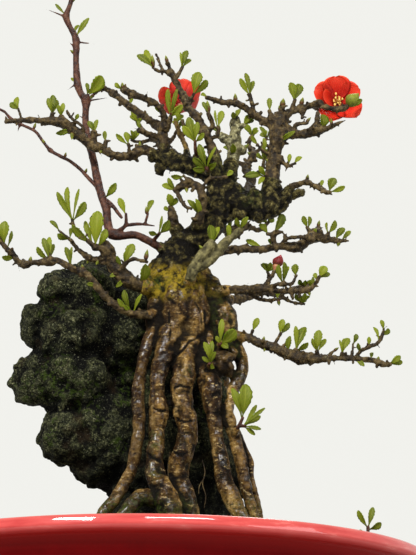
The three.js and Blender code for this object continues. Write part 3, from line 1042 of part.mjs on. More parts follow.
function soilSolid() {
  const gap = CLEARANCE;
  const inset = gap + FACET_ALLOWANCE;
  const wall = INNER_WALL.map(([radius, height]) => [radius - inset, height + gap]);
  const mound = turned([
    [0, FLOOR_HEIGHT + gap],
    ...wall,
    [INNER_RADIUS - inset, SOIL_EDGE_HEIGHT],
    [92, SOIL_EDGE_HEIGHT + 3],
    [62, SOIL_EDGE_HEIGHT + 10],
    [0, SOIL_CROWN_HEIGHT],
  ], POT_FACETS);
  const side = SCREEN_SIDE + 2 * gap;
  const recesses = [-1, 1].map((sign) => (
    block(side, side, SCREEN_THICKNESS + gap + 2, sign * DRAIN_OFFSET, 0, FLOOR_HEIGHT - 2 + gap)
  ));
  const cut = wasm.Manifold.union([...recesses, trunkSolid(CLEARANCE), rockSolid(CLEARANCE)]);
  return largestBody(wasm.Manifold.union([mound.subtract(cut), ...stubsOn('soil')]));
}

function screenSolid(sign) {
  const base = FLOOR_HEIGHT + CLEARANCE;
  const plate = block(SCREEN_SIDE, SCREEN_SIDE, SCREEN_THICKNESS, sign * DRAIN_OFFSET, 0, base);
  const holes = [];
  for (const i of [-1, 1]) {
    for (const j of [-1, 1]) {
      const across = sign * DRAIN_OFFSET + i * SCREEN_PITCH;
      holes.push(block(SCREEN_HOLE, SCREEN_HOLE, 6, across, j * SCREEN_PITCH, FLOOR_HEIGHT - 2));
    }
  }
  return plate.subtract(wasm.Manifold.union(holes));
}

// A cupped petal with a waved edge, lying from the heart outwards
const PETAL_STATIONS = [0, 0.2, 0.62, 0.9, 1];
const PETAL_WIDTHS = [0, 0.36, 1, 0.76, 0];

function petal(heart, axis, outward, length, width, rise, draw) {
  const sideways = axis.clone().cross(outward).normalize();
  const ripple = 0.5 - draw();
  const blank = new THREE.SphereGeometry(1, 6, PETAL_STATIONS.length - 1);
  return solidFrom(blank, (point) => {
    const station = stationOf(point, PETAL_STATIONS.length - 1);
    const ring = Math.hypot(point.x, point.z);
    const edge = ring > 0.01 ? point.x / ring : 0;
    const skin = ring > 0.01 ? Math.sign(Math.round((point.z / ring) * 10)) : 0;
    const s = PETAL_STATIONS[station];
    const half = (PETAL_WIDTHS[station] * width) / 2;
    const climb = s * Math.sin(rise) + 0.22 * s * s;
    const cup = 0.34 * edge * edge * half + 0.5 * ripple * Math.sin(5 * edge + 3 * s) * s;
    return heart.clone()
      .addScaledVector(outward, length * s * Math.cos(rise))
      .addScaledVector(sideways, edge * half)
      .addScaledVector(axis, length * climb + cup + (skin * PETAL_THICKNESS) / 2);
  });
}

function bloomSolids(plan, seed) {
  const draw = makeDraw(seed);
  const foot = place(...plan.foot);
  const heart = place(...plan.heart);
  const [across, up, away] = plan.axis;
  const reach = plan.heart.map((value, k) => value + [across, up, away][k] * 5);
  const axis = place(...reach).sub(heart).normalize();
  const right = new THREE.Vector3(1, 0, 0).addScaledVector(axis, -axis.x).normalize();
  const top = right.clone().cross(axis).normalize();
  if (top.z < 0) {
    top.negate();
  }
  const outwardAt = (turn) => (
    right.clone().multiplyScalar(Math.cos(turn)).addScaledVector(top, Math.sin(turn))
  );
  const petals = plan.petals.map(([degrees, length, width, rise]) => {
    const outward = outwardAt(THREE.MathUtils.degToRad(degrees));
    return petal(heart, axis, outward, length, width, THREE.MathUtils.degToRad(rise), draw);
  });
  const cup = solidFrom(new THREE.SphereGeometry(HEART_RADIUS, 6, 4), (point) => point.add(heart));
  const base = heart.clone().addScaledVector(axis, HEART_RADIUS + CLEARANCE + FACET_ALLOWANCE);
  const rod = (from, to, start, end, sides) => {
    const along = to.clone().sub(from).normalize();
    const front = right.clone().cross(along).normalize();
    const rows = [{ centre: from, radius: start }, { centre: to, radius: end }];
    return limb(rows.map((row) => ({ ...row, along, side: right, front })), sides);
  };
  const stamens = [rod(base, base.clone().addScaledVector(axis, 1.2), 1.3, 1.5, 6)];
  for (let i = 0; i < plan.stamens; i += 1) {
    const turn = (i / plan.stamens) * 2 * Math.PI + 0.3 * draw();
    const spread = 0.4 + 0.45 * draw();
    const lean = axis.clone().addScaledVector(outwardAt(turn), spread).normalize();
    const tip = base.clone().addScaledVector(lean, STAMEN_LENGTH + 1.2 * draw());
    const root = base.clone().addScaledVector(axis, 0.5);
    stamens.push(rod(root, tip, STAMEN_FOOT_RADIUS, STAMEN_TIP_RADIUS, 3));
  }
  const stalk = heart.clone().sub(foot).normalize();
  const calyxEnd = heart.clone().addScaledVector(stalk, -(HEART_RADIUS + CLEARANCE + 0.1));
  return {
    petals: wasm.Manifold.union([...petals, cup]),
    stamens: wasm.Manifold.union(stamens),
    calyx: rod(foot, calyxEnd, CALYX_FOOT_RADIUS, CALYX_TOP_RADIUS, 7),
  };
}

function flowerBudSolids() {
  const foot = place(...FLOWER_BUD.foot);
  const tip = place(...FLOWER_BUD.tip);
  const { along, across, face, length } = leafFrame(foot, tip, 0);
  const half = FLOWER_BUD.width / 2;
  const ball = solidFrom(new THREE.SphereGeometry(1, 10, 5), (point) => {
    const turn = Math.atan2(point.z, point.x);
    const fold = 1 + 0.1 * Math.cos(5 * turn);
    return foot.clone()
      .addScaledVector(along, length * (0.62 - 0.38 * point.y))
      .addScaledVector(across, point.x * half * fold)
      .addScaledVector(face, point.z * half * fold);
  });
  const cupTop = foot.clone().addScaledVector(along, length * 0.24 - CLEARANCE);
  const rings = [[0, 1.2], [0.55, 1.9], [1, 2]].map(([t, radius]) => ({
    centre: foot.clone().lerp(cupTop, t), along, side: across, front: face, radius,
  }));
  return { petals: ball, calyx: limb(rings, 6) };
}

const group = new THREE.Group();

group.add(meshOf(potSolid(), 'pot', COLOURS.glaze, 0.2));
[['left', -1], ['right', 1]].forEach(([side, sign]) => {
  group.add(meshOf(screenSolid(sign), `drain_screen_${side}`, COLOURS.screen, 0.7));
});
group.add(meshOf(soilSolid(), 'soil', COLOURS.soil, 1));
const rock = largestBody(rockSolid().subtract(trunkSolid(CLEARANCE)));
group.add(meshOf(rock, 'rock', COLOURS.rock, 0.95));
group.add(meshOf(trunkSolid(), 'trunk', COLOURS.oldWood, 0.6));

Object.entries(STEMS).forEach(([name, plan], index) => {
  const solid = wasm.Manifold.union([leafyStem(plan, 101 + index * 17), ...stubsOn(name)]);
  group.add(meshOf(solid, name, COLOURS[plan.bark], 0.75));
});

Object.entries(BLOOMS).forEach(([name, plan], index) => {
  const { petals, stamens, calyx } = bloomSolids(plan, 31 + index * 7);
  group.add(meshOf(petals, `${name}_petals`, COLOURS.petal, 0.5));
  group.add(meshOf(stamens, `${name}_stamens`, COLOURS.stamen, 0.6));
  group.add(meshOf(calyx, `${name}_calyx`, COLOURS.calyx, 0.6));
});

const flowerBud = flowerBudSolids();
group.add(meshOf(flowerBud.petals, 'flower_bud_petals', COLOURS.petal, 0.5));
group.add(meshOf(flowerBud.calyx, 'flower_bud_calyx', COLOURS.calyx, 0.6));

export default group;
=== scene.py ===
"""Flowering quince bonsai with roots over a lava rock, in a round red glazed pot.

Lengths are in millimetres until a mesh is made. Most of the tree is laid out as it is seen from the front:
a place is [across, up, depth], where across and up are measured on an upright plane through the trunk,
square to the line of sight, and depth is the distance behind that plane.
"""
import math

import bpy
import numpy as np
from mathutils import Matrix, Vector


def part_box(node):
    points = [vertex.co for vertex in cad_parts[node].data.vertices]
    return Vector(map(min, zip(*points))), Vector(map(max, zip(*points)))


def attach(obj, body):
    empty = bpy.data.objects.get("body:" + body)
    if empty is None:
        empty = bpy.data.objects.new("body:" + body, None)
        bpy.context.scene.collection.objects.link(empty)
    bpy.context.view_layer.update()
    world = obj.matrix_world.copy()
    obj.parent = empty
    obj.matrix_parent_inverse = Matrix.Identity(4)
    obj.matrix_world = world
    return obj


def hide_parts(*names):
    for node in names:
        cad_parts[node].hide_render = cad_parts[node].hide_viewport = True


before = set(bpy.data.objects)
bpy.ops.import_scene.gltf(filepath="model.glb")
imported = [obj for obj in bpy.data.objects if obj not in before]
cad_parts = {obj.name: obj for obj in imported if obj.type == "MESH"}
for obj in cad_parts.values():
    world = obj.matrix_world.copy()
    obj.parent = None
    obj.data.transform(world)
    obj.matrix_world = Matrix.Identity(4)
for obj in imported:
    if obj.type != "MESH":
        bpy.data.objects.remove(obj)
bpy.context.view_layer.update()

MM = 0.001

# The view, shared with the part's source
VIEW_DISTANCE = 1000
VIEW_TILT = math.radians(17)
AIM_ACROSS = 31.5
AIM_UP = 117.25
AIM_HEIGHT = 203.8
VIEW_HEIGHT = 277.5
SENSOR = 36
EYE = np.array([
    AIM_ACROSS,
    -VIEW_DISTANCE * math.cos(VIEW_TILT),
    AIM_HEIGHT - VIEW_DISTANCE * math.sin(VIEW_TILT),
])

# Pot, in millimetres. The radius keeps its round rim inside the faceted rim of the solid.
POT_RADIUS = 139.2
POT_HEIGHT = 60
LIP_HEIGHT = 7.5
WALL_RADIUS = 133
INNER_RADIUS = 128
FLOOR_RADIUS = 98
FLOOR_HEIGHT = 13
FOOT_OUTER_RADIUS = 96
FOOT_INNER_RADIUS = 84
FOOT_HEIGHT = 6
FOOT_NOTCH_WIDTH = 34
FOOT_NOTCH_HEIGHT = 5
FOOT_NOTCH_DEGREES = (30, 150, 270)
DRAIN_RADIUS = 11
DRAIN_OFFSET = 45
POT_FACETS = 180
# Heights between which the drain holes are cut, below and above the pot's floor
DRAIN_CUT = (-4, 20)

# Soil
SOIL_EDGE_HEIGHT = 53
SOIL_CROWN_HEIGHT = 69
SOIL_FACETS = 220
SOIL_RINGS = 90
GRAINS = 900

# Distances between the points of a fused skin, and how many times wider they are in a quick try
TRUNK_SKIN = 0.8
STEM_SKIN = 0.42
ROCK_SKIN = 1.15
QUICK_FACTOR = 1

# How much darker the pigments are than their written colours
PIGMENT = 0.8

# How far inside its limb a twig starts from the limb's open end
ROOTING_DEPTH = 1.2

# A bud wider than this is green all over
RIPE_BUD = 5.8

# Turn from one spur or stamen to the next round its stem, near the golden angle
SPIRAL = 2.4

# Round stage that the pot stands on
STAGE_RADIUS = 385
STAGE_THICKNESS = 8

# Roots, trunk and thick limbs, grown as one piece of wood: rows of [across, up, depth, radius]
TRUNK = [
    # the root crown's three columns
    [[9, 124, 0, 7], [8.5, 116, -1, 8.6], [9.5, 104, -2, 7.8], [9, 92, -3, 7], [8, 82, -5, 5]],
    [[16, 130, 0, 8], [17, 122, 0, 10.2], [18, 114, 0, 11.5], [20, 102, 0, 12], [22, 90, 0, 11],
     [23, 74, 2, 8]],
    [[26, 118, 1, 7], [33, 108, 0, 7.6], [38, 98, -1, 7.8], [40, 88, -2, 7], [41, 77, -3, 5.6]],
    # the bulge in front of the columns
    [[13, 115, -3, 7.5], [16, 106, -6, 8.8], [15, 97, -7, 8.2], [13.5, 89, -6, 6.4],
     [12, 80, -5, 5]],
    [[21, 113, -3, 7.5], [25, 103, -5, 8.6], [25.5, 94, -6, 8.2], [23, 85, -5, 7],
     [22, 76, -4, 5]],
    # trunk above the root crown
    [[14, 122, 0, 9], [17, 130, 0, 8.2], [21, 134, 0, 7.4], [26, 137.5, 0, 7.2], [31, 142, 1, 7.2],
     [35, 148.5, 2, 7.2], [37.5, 155, 3, 7.2], [38.5, 162, 3, 7], [38.5, 168, 4, 6]],
    # upper left limb
    [[38, 165, 3, 5.6], [31.5, 171, 3, 5.6], [22.5, 173, 3, 5.2], [15, 175.2, 4, 5], [9.5, 176, 4, 4.8]],
    # crown mass to the right
    [[37, 156, 3, 6.5], [44, 155.5, 4, 7.2], [50, 154, 5, 7.4], [60, 152.5, 6, 6.8], [68, 156, 6, 5.2],
     [71.5, 158.5, 6, 3.4]],
    # cut stub at the right
    [[68, 156.5, 8, 2.2], [79.5, 160.5, 9, 1.8]],
    # root A
    [[6, 106, -6, 4.2], [3.5, 90, -8, 4], [1, 83.5, -10, 3.2], [-2, 71, -12, 3], [-3.5, 56, -13, 3.3],
     [-3, 41, -14, 2.8], [-4, 33.5, -14, 2.8], [-7, 21, -14, 2.8], [-11, 12.5, -15, 3], [-17.5, 3.5, -17, 3],
     [-24, -6, -20, 2.7], [-30, -17, -23, 2.2]],
    # root B
    [[15, 98, -6, 7], [12.5, 88.5, -10, 6.3], [8, 73.5, -14, 4.6], [6, 61, -15, 3.8], [7.5, 51, -15, 4.7],
     [6, 41, -15, 3.9], [5.5, 31, -16, 4.1], [5, 21, -17, 4.7], [8.5, 11, -19, 5.6], [12.5, 2, -20, 6.2],
     [14, -9, -21, 6], [15, -21, -22, 5]],
    # root C
    [[22.5, 88, -6, 7], [20, 71, -14, 5.6], [18, 61, -15, 5.4], [19.5, 51, -15, 5.5], [21.5, 41, -15, 5],
     [19.5, 31, -14, 5.1], [17, 23.5, -13, 5.3], [17.5, 16, -12, 5], [21, 5, -13, 4.6], [24, -8, -15, 4.4],
     [26, -20, -17, 3.6]],
    # root D
    [[30, 90, -5, 5.5], [30, 76, -9, 5], [33, 60, -14, 5.4], [34.5, 48.5, -14, 3.9], [36, 36, -15, 3.4],
     [38, 26, -15, 3.9], [39.5, 16, -16, 4.1], [43.5, 7, -17, 4.1], [48.5, -4, -19, 3.8], [53, -17, -21, 3]],
    # root E, below the burr
    [[45, 84, -3, 3.8], [48.5, 72, -5, 3.4], [44, 60, -9, 3.2], [41.5, 50, -11, 2.8], [43.5, 41, -12, 3],
     [47.5, 27, -12, 3.1], [49.5, 16, -12, 3], [52.5, 4, -12, 3], [56, -9, -12, 2.6], [60, -20, -12, 2]],
    # thin root F
    [[44, 44, -12, 1.7], [49, 33.5, -9, 1.6], [52.5, 25, -8, 1.6], [54, 14, -7, 1.6], [57, 2, -6, 1.5],
     [59, -14, -5, 1.3]],
    # low root across the foot of root B
    [[9, 4, -18, 4], [2, 6.8, -20, 4.3], [-5, 5.4, -22, 4.2], [-12, -3, -24, 3.2]],
    # roots on the far side of the rock
    [[12, 116, 4, 6], [6, 104, 34, 5.2], [2, 82, 61, 4.4], [6, 54, 69, 3.8], [-2, 20, 70, 3.3],
     [-10, -34, 66, 2.6]],
    [[30, 106, 4, 6], [36, 90, 34, 5], [38, 64, 47, 4.4], [38, 34, 48, 3.8], [46, -28, 42, 2.8]],
]

# The trunk above the root crown, the upper left limb and the crown mass, which carry old spurs
SPURRED = TRUNK[5:8]

# Burrs and knobs on the wood: [across, up, depth, radius]. The first is the large one with a swirled grain.
BURRS = [
    [38.8, 74, -11, 6.8], [34.5, 65.5, -11, 4.2], [43, 79.5, -7, 4.2], [7.5, 171.5, 3, 3.4], [4, 178, 4, 3],
    [14, 178.5, 2, 3], [27, 176.5, 2, 3.2], [45, 160.5, 2, 4], [54, 158.5, 3, 3.8], [57, 148, 2, 3.8],
    [47, 149.5, -1, 3.6], [66, 152, 4, 3.2], [30, 149, -3, 3], [41, 147, 0, 3.4], [12, 127.5, -5, 3.2],
    [24, 124, -6, 3.4], [34, 162, -1, 3], [42, 168, 0, 3],
]

# Knot hole beside the burr: [across, up, depth, radius], and how deep it is
KNOT_HOLE = [40, 80.5, -9.5, 2.6]
KNOT_HOLE_DEPTH = 2.6

# Patches of the wood as seen from the front: [across, up, half width, half height]
BULGE = [20, 101, 11, 16]
# The second patch is painted darker at the foot of the roots.
DARKER_FOOT = [-4, 3, 8, 8]

# Lava rock: fused lumps, each [across, up, depth, radius, height over width]
ROCK_LUMPS = [
    [-42.5, 110, 12, 11.5, 1], [-28, 108, 18, 18, 1], [-50, 93.5, 14, 12.5, 1], [-35, 88, 14, 20.5, 1],
    [-53.5, 67, 14, 14, 1], [-36, 64, 16, 20, 1], [-10, 86, 26, 24, 1.2], [-39, 38, 14, 14, 1],
    [-20, 38, 22, 22, 1.2], [16, 58, 28, 26, 1.3], [31, 22, 22, 20, 1.3], [4, 26, 28, 27, 1.2],
    [28, -10, 22, 23, 1], [0, -12, 26, 25, 1], [-22, 74, 44, 23, 1.5], [6, 52, 48, 25, 1.7],
    [12, 4, 46, 26, 1.6], [45, -10, 8, 14, 1],
]

# Beads that the rock's skin is raised in: [height, size, seed]
ROCK_BEADS = [[1.5, 11, 32], [0.8, 5, 33], [0.4, 2.7, 34]]

# Cracks and creases on the front of the wood: rows of [across, up] and how wide each is
CRACKS = [
    ([[11.5, 73.5], [14.5, 77.5], [19, 81], [23, 85.5], [27, 88]], 0.55),
    ([[1.5, 29.5], [4, 27], [8.5, 25.5]], 0.5),
    ([[29.5, 101], [31, 92], [30.5, 84], [32.5, 74]], 0.6),
    ([[2.5, 109], [6.5, 107], [11, 107.5], [15.5, 104.5]], 0.4),
    ([[11.5, 100], [13.5, 93], [12, 86]], 0.4),
    ([[17, 104], [19.5, 98.5], [24.5, 96]], 0.35),
    ([[24, 106], [27.5, 100], [28.5, 94]], 0.4),
    ([[35, 99], [38, 94], [38.5, 87]], 0.6),
    ([[33, 58], [36, 60], [39, 58.5]], 0.5),
    ([[15, 62], [18, 63.5], [22, 62]], 0.45),
    ([[16, 47], [19, 45], [23, 45.5]], 0.45),
    ([[14, 30], [17.5, 28.5], [21, 29.5]], 0.45),
    ([[5, 52], [8, 50], [11, 51]], 0.4),
]

# Hair roots that hang in the hollows between the roots: rows of [across, up, depth, radius]
ROOTLETS = [
    [[28.6, 26, -8, 0.3], [30, 20, -10, 0.28], [28.8, 14, -11, 0.26], [30.4, 8, -12, 0.24],
     [29.6, 2, -13, 0.2]],
    [[29.6, 17, -10, 0.26], [27.2, 13, -12, 0.22], [26.8, 9, -13, 0.2]],
    [[12.5, 30, -12, 0.28], [11.4, 22, -14, 0.24], [12.2, 14, -16, 0.2]],
]

# Leafy stems. Each grows from the piece named in "on". Its stem has rows of [across, up, depth, radius],
# the first inside that piece and the second at the joint. A twig has rows of
# [across, up, lean, radius], where lean is its depth beyond the wood that it leaves. A leaf or bud is
# [base across, base up, tip across, tip up, width, lean], a thorn the same without a width,
# a knob [across, up, radius] and a tuft [across, up, number of leaves, length]. A list that would be
# empty is left out, and so is the bark of a stem with plain twig bark.
STEMS = {
    "branch_whip": {"on": "trunk", "bark": "whip",
        "stem": [[15, 131, -2, 2.2], [6.6, 132.8, -5, 2.1], [2, 135.5, -6, 2], [-5, 138.5, -7, 2],
         [-12, 138, -7, 2.1], [-16.5, 139, -6, 2.4], [-18.5, 143.5, -5, 2.2], [-19.5, 152, -3, 2.2],
         [-21.5, 157.5, -1, 2.2], [-24, 167, 2, 2.1], [-25.8, 176, 4, 2], [-28, 184.5, 5, 1.9],
         [-29.5, 192, 6, 1.8], [-29.7, 200, 6, 1.8], [-29.4, 205.5, 6, 2.2], [-32, 209, 6, 1.7],
         [-33.8, 214.5, 6, 2], [-34.5, 226, 7, 1.6], [-34.5, 236, 8, 1.9], [-37.5, 242.5, 8, 1.4],
         [-39.5, 247.5, 8, 1.8], [-38, 252, 8, 1.3], [-36.5, 258, 7, 1.2], [-37.5, 264, 6, 1.2],
         [-36, 270, 5, 0.8]],
        "twigs": [[[-29.4, 205.5, 0, 1], [-28.5, 209, -2, 0.8]], [[-21, 157.5, 0, 1.3],
         [-16.5, 153.5, -2, 1.1], [-13.5, 149.5, -3, 1], [-11.5, 147, -4, 0.8]], [[-16.5, 138.5, 0, 1.3],
         [-10, 143, -3, 1.1], [-9.5, 149.5, -5, 0.8]], [[-9.8, 143.3, 0, 1], [-2.5, 144, -1, 0.9],
         [5, 143, -2, 0.4]], [[0, 143.8, 0, 0.8], [1.5, 149.5, -2, 0.7]], [[3.5, 135, 0, 1.1],
         [7.5, 139.5, -6, 0.9]]],
        "leaves": [[-42, 249, -44.8, 254, 1.8, 0], [-33, 238, -28, 247, 3.2, -2],
         [-35, 239.5, -33, 243.5, 2, 2], [-34.5, 214, -37, 217, 1.6, 1], [-28.5, 209, -21.5, 218, 7, -2],
         [-28.5, 209, -29.2, 214.5, 2.2, 1], [-20, 157, -14.5, 164.5, 3.6, -3],
         [-9.5, 149.5, -13, 157, 3.6, -1], [1.5, 149.5, 4, 156, 3, 2], [7.5, 139.5, 12, 146, 4, -3],
         [7.5, 139.5, 8.5, 148, 1.6, -1], [7.5, 139.5, 2, 140, 2.6, -3], [-37.5, 264, -42, 270, 3, -1],
         [-36, 270, -33, 275.6, 3.4, 1], [-36, 270, -38.5, 276.1, 3, -1], [-38, 253, -34, 257.5, 2.6, 3]],
        "buds": [[-35, 229, -37.6, 231, 1.8, 0], [1.5, 149.5, 0.5, 153, 2, -1]],
        "thorns": [[-40, 247.5, -50.8, 252, 0], [-34, 235, -24.5, 234, 1], [-35, 231, -39, 236.5, -1],
         [-34, 214.5, -39.5, 210.5, 1], [-29.4, 205.5, -16, 207.5, 3], [-29.6, 196, -34, 199, 4]],
        "knobs": [[-29.4, 205.5, 2.6], [-34.6, 236, 2.2], [-39.5, 247.5, 2], [-16.5, 139, 2.9]]},
    "shoot_left_thin": {"on": "branch_whip", "bark": "whip",
        "stem": [[-23, 161.5, 1, 1.1], [-27, 165.7, 2, 1.1], [-28.8, 167.6, 3, 1.1], [-32.5, 171.5, 5, 1],
         [-37.5, 175.5, 7, 1], [-42.5, 178, 9, 1], [-47.5, 181, 11, 1], [-51.5, 186, 13, 0.9],
         [-55, 190.5, 15, 0.9], [-62.5, 194, 18, 0.9], [-67.5, 197, 20, 0.9], [-70, 200, 22, 0.8],
         [-73, 201.5, 24, 0.8], [-77, 204, 26, 0.6]],
        "leaves": [[-77, 204, -81, 209, 3, 1], [-77, 204, -84, 205, 3, 3]],
        "buds": [[-55.5, 191.5, -54.5, 195, 1.6, 0], [-50.5, 183, -51.5, 186.5, 1.6, 0],
         [-40, 177, -39.5, 180, 1.6, 0], [-30, 169, -29, 172, 1.6, 0]],
        "thorns": [[-62.5, 194, -64, 189, 1]],
        "knobs": [[-47.5, 181, 1.4], [-62.5, 194, 1.3]]},
    "branch_left_upper": {"on": "trunk",
        "stem": [[10, 176, 4, 2.6], [2, 180.3, 2, 2.3], [-2.5, 181, 0, 2.6], [-7.5, 178, -2, 2.2],
         [-15, 178, -4, 2], [-21, 181, -6, 2], [-23.5, 182.5, -7, 2.4], [-27, 183, -8, 2.2],
         [-32.5, 188, -9, 2.6], [-37.5, 192, -10, 3], [-42.5, 195, -12, 2.7], [-50, 195.5, -13, 1.8],
         [-57.5, 196, -14, 1.5], [-64, 195.5, -15, 1.2], [-70, 195.2, -16, 1]],
        "twigs": [[[-61.5, 195.8, 0, 0.9], [-63.5, 202, -1, 0.7]], [[-46, 195.5, 0, 1.1],
         [-46.5, 200, 1, 0.9]], [[-41.5, 195, 0, 1.1], [-42, 198.5, -1, 0.9]], [[-32, 188.5, 0, 1.2],
         [-31, 192.5, -3, 1], [-37.5, 197.5, -4, 0.9], [-39, 201, -4, 0.7]], [[-25.5, 183, 0, 1.5],
         [-25.5, 190.5, -2, 1.4]], [[-19.7, 181, 0, 1.2], [-19.7, 185.5, 2, 1]], [[-7.5, 178.5, 0, 1.2],
         [-8.5, 184.5, -3, 0.9]]],
        "leaves": [[-63.5, 202, -67.5, 204.5, 3.6, -1], [-63.5, 202, -64, 207.5, 3, 1],
         [-46.5, 200, -48.5, 207, 3, -2], [-46.5, 200, -46, 208.5, 3.6, 0], [-46.5, 200, -43.8, 206, 3, 2],
         [-42, 198.5, -43.5, 203.5, 2.6, -3], [-42, 198.5, -40.8, 204.5, 2.6, -1],
         [-35, 195.5, -33.3, 199, 2.2, -2], [-38, 190, -44.5, 189.3, 3, -3],
         [-25.5, 190.5, -28.4, 195.5, 2.8, -1], [-25.5, 190.5, -23.8, 196.2, 2.8, 0],
         [-19.7, 185.5, -20.2, 190.5, 2.4, 1], [-8.5, 184.5, -14.5, 189, 2.6, -1],
         [-8.5, 184.5, -9.8, 190, 3.2, -1]],
        "buds": [[-37, 190, -36.6, 186, 2.4, -2], [-22, 181.5, -22.5, 179, 2, -2],
         [-3, 181, -2.5, 185.5, 2.4, 0]],
        "thorns": [[-24, 182.5, -21, 176.5, -2], [-52, 195.5, -54, 199.5, 1]],
        "knobs": [[-37.5, 192, 3.4], [-42.5, 195, 3], [-2, 182.5, 2.6], [-25.7, 192, 2.2],
         [-50, 195.6, 2.2], [-57.5, 196, 1.9], [-23.5, 182.5, 2.8]]},
    "branch_crown_left": {"on": "trunk",
        "stem": [[9.5, 175, 4, 3], [9.2, 183, 5, 2.7], [9.3, 187, 6, 2.5], [8.5, 191, 8, 2.4],
         [5, 194, 11, 2.1], [1.5, 196.5, 13, 2], [-2.5, 199.5, 15, 2], [-7.5, 202.5, 17, 2],
         [-13.5, 207.5, 19, 1.7], [-18.5, 211, 21, 1.5], [-22.5, 211.5, 22, 1.2], [-26, 208.5, 23, 0.9]],
        "twigs": [[[8.8, 190, 0, 2.1], [9.5, 197, -4, 1.9], [8, 201, -6, 1.8], [5, 204, -8, 1.8],
         [0, 206.5, -10, 1.7], [-5, 208.5, -12, 1.6], [-12, 211.5, -15, 1.4]], [[9, 190, 0, 1.3],
         [12, 194, -5, 1.2], [13, 198.5, -8, 1.1]], [[9.2, 186.2, 0, 1.6], [2.5, 188.5, -5, 1.5],
         [-3.5, 191, -9, 1.3]], [[-18, 210.5, 0, 1.2], [-21.5, 213.5, -2, 0.9]]],
        "leaves": [[13, 199, 11.5, 211.5, 3.2, -3], [13, 199, 16, 211.5, 2.6, -6],
         [13, 199, 18.8, 203.5, 4, -5], [8, 198, 5, 203.5, 2.4, -3], [-3.5, 191, -3.5, 195.5, 2.2, -1],
         [-12, 211.5, -15, 214.5, 2.4, -1], [-26, 208.5, -29, 211.5, 2.6, 1],
         [-7.5, 203, -6.5, 207.5, 2.2, 2]],
        "buds": [[-12, 211.5, -11.5, 215, 2.2, 0], [-21.5, 213.5, -21, 217, 2, 0],
         [-26, 208.5, -28.5, 206, 2, 0], [13, 198.5, 14.5, 202, 2.2, -2]],
        "thorns": [[-3.5, 191, -6.5, 192.5, -1], [0, 206, 1.5, 211, 1]],
        "knobs": [[-12, 204.5, 2.2], [-9, 200.5, 2], [-10, 210, 2.2], [-6, 208.5, 2.1], [3, 205.5, 2.2],
         [9, 193, 2.9], [-16, 209.5, 2.1], [5.5, 193, 2.6]]},
    "branch_crown_centre": {"on": "trunk",
        "stem": [[37, 166, 0, 3], [34.2, 178, -4, 2.6], [33.5, 181, -4, 2.6], [32, 186, -5, 2.4],
         [30, 191, -5, 2.2], [27.5, 195, -5, 2.1], [25, 198.5, -5, 2.1], [22, 202, -4, 2],
         [19.5, 207, -3, 1.9], [17.5, 211, -2, 1.8], [14.5, 217, -1, 1.7], [13, 220, 0, 1.6]],
        "twigs": [[[13.5, 219.5, 0, 1.3], [10, 220.5, -1, 1.1], [6.5, 220.5, -1, 1],
         [3.5, 222.5, -2, 0.8]], [[9, 220.5, 0, 0.9], [5.5, 229, 3, 0.7]], [[13, 219, 0, 1.2],
         [11, 225, -2, 1.1]], [[15.2, 216, 0, 1.1], [19, 223, 1, 0.9]], [[22.3, 202.5, 0, 1],
         [24.5, 209.5, -4, 0.9]], [[30.5, 190, 0, 1.2], [21, 190.5, -5, 1], [18.5, 196, -6, 0.8]],
         [[30.3, 190.3, 0, 1.3], [34, 192.5, -1, 1.2], [31.5, 200, -3, 1.2]], [[32, 187, 0, 1.1],
         [36.8, 188.5, -3, 1], [36.2, 193, -4, 0.9]], [[22.5, 201.5, 0, 1.5], [20.5, 201.5, 7.5, 1.4]]],
        "leaves": [[3.5, 222.5, -4, 228.5, 4, -1], [3.5, 222.5, 0, 231, 3.4, 1],
         [19, 223, 21, 230.8, 3.6, 0], [19, 223, 23, 226.3, 2.6, 2], [19, 223, 17.7, 229.8, 1.5, -2],
         [24.5, 209.5, 27, 220, 6, -2], [24.5, 209.5, 31.2, 215.8, 4, 1], [31.5, 200, 28.8, 205, 2.6, -1],
         [36.2, 193, 35, 200.8, 1.5, -1], [36.2, 193, 38.6, 200.6, 3.8, 0],
         [18.5, 196, 15.5, 199.5, 2.2, -2]],
        "buds": [[3.5, 222.5, 3.4, 229, 2.2, -2], [31.5, 200, 31, 206, 3, 0], [11, 225, 10.2, 228.5, 2, 0]],
        "thorns": [[27.5, 195, 24, 193, -2], [17.5, 211, 13.5, 212, -2]],
        "knobs": [[15, 221, 2], [13, 220, 2], [25, 198.5, 2.6], [30, 191, 2.7], [19.5, 207, 2.3],
         [33.6, 181, 3]]},
    "branch_crown_ochre": {"on": "trunk", "bark": "ochre",
        "stem": [[21.5, 173, 3, 1.7], [20.8, 180.3, 6, 1.5], [19.8, 184, 8, 1.4], [17.5, 189, 11, 1.3],
         [15, 195, 14, 1.1]],
        "leaves": [[15, 195, 16.5, 200.5, 2.6, 1], [15, 195, 19, 198.5, 2.6, 2]],
        "buds": [[18.5, 187.5, 21, 190, 1.8, 2]],
        "knobs": [[17.5, 189, 1.8]]},
    "tuft_limb_left": {"on": "trunk", "bark": "leaf",
        "stem": [[25.5, 173, 0, 1.4], [25.6, 178.8, -6, 1.2], [25.2, 182, -10, 1], [25, 186, -12.5, 0.8]],
        "leaves": [[25, 186, 18.8, 193, 4, -4], [25, 186, 21.8, 197.5, 4.6, -1],
         [25, 186, 26.4, 195, 3.4, -2], [25, 185, 29.5, 189.5, 2.8, -4]]},
    "tuft_crotch": {"on": "trunk", "bark": "leaf",
        "stem": [[31.5, 170, 0, 1.6], [31, 171.3, -6.4, 1.4], [30.8, 172, -9, 1.2]],
        "leaves": [[30.8, 172, 27, 184, 4, -4], [30, 173, 24, 177, 3.6, -4],
         [31.2, 173, 35.5, 182.5, 1.8, -6], [30, 171, 24, 171.5, 3.4, -5], [31, 171, 35.5, 174.5, 3, -6]]},
    "branch_lichen": {"on": "trunk", "bark": "ochre",
        "stem": [[40, 163, 4, 4], [43.5, 174.5, 10, 3.5], [44.5, 181, 12, 3.3], [45, 188, 13, 3],
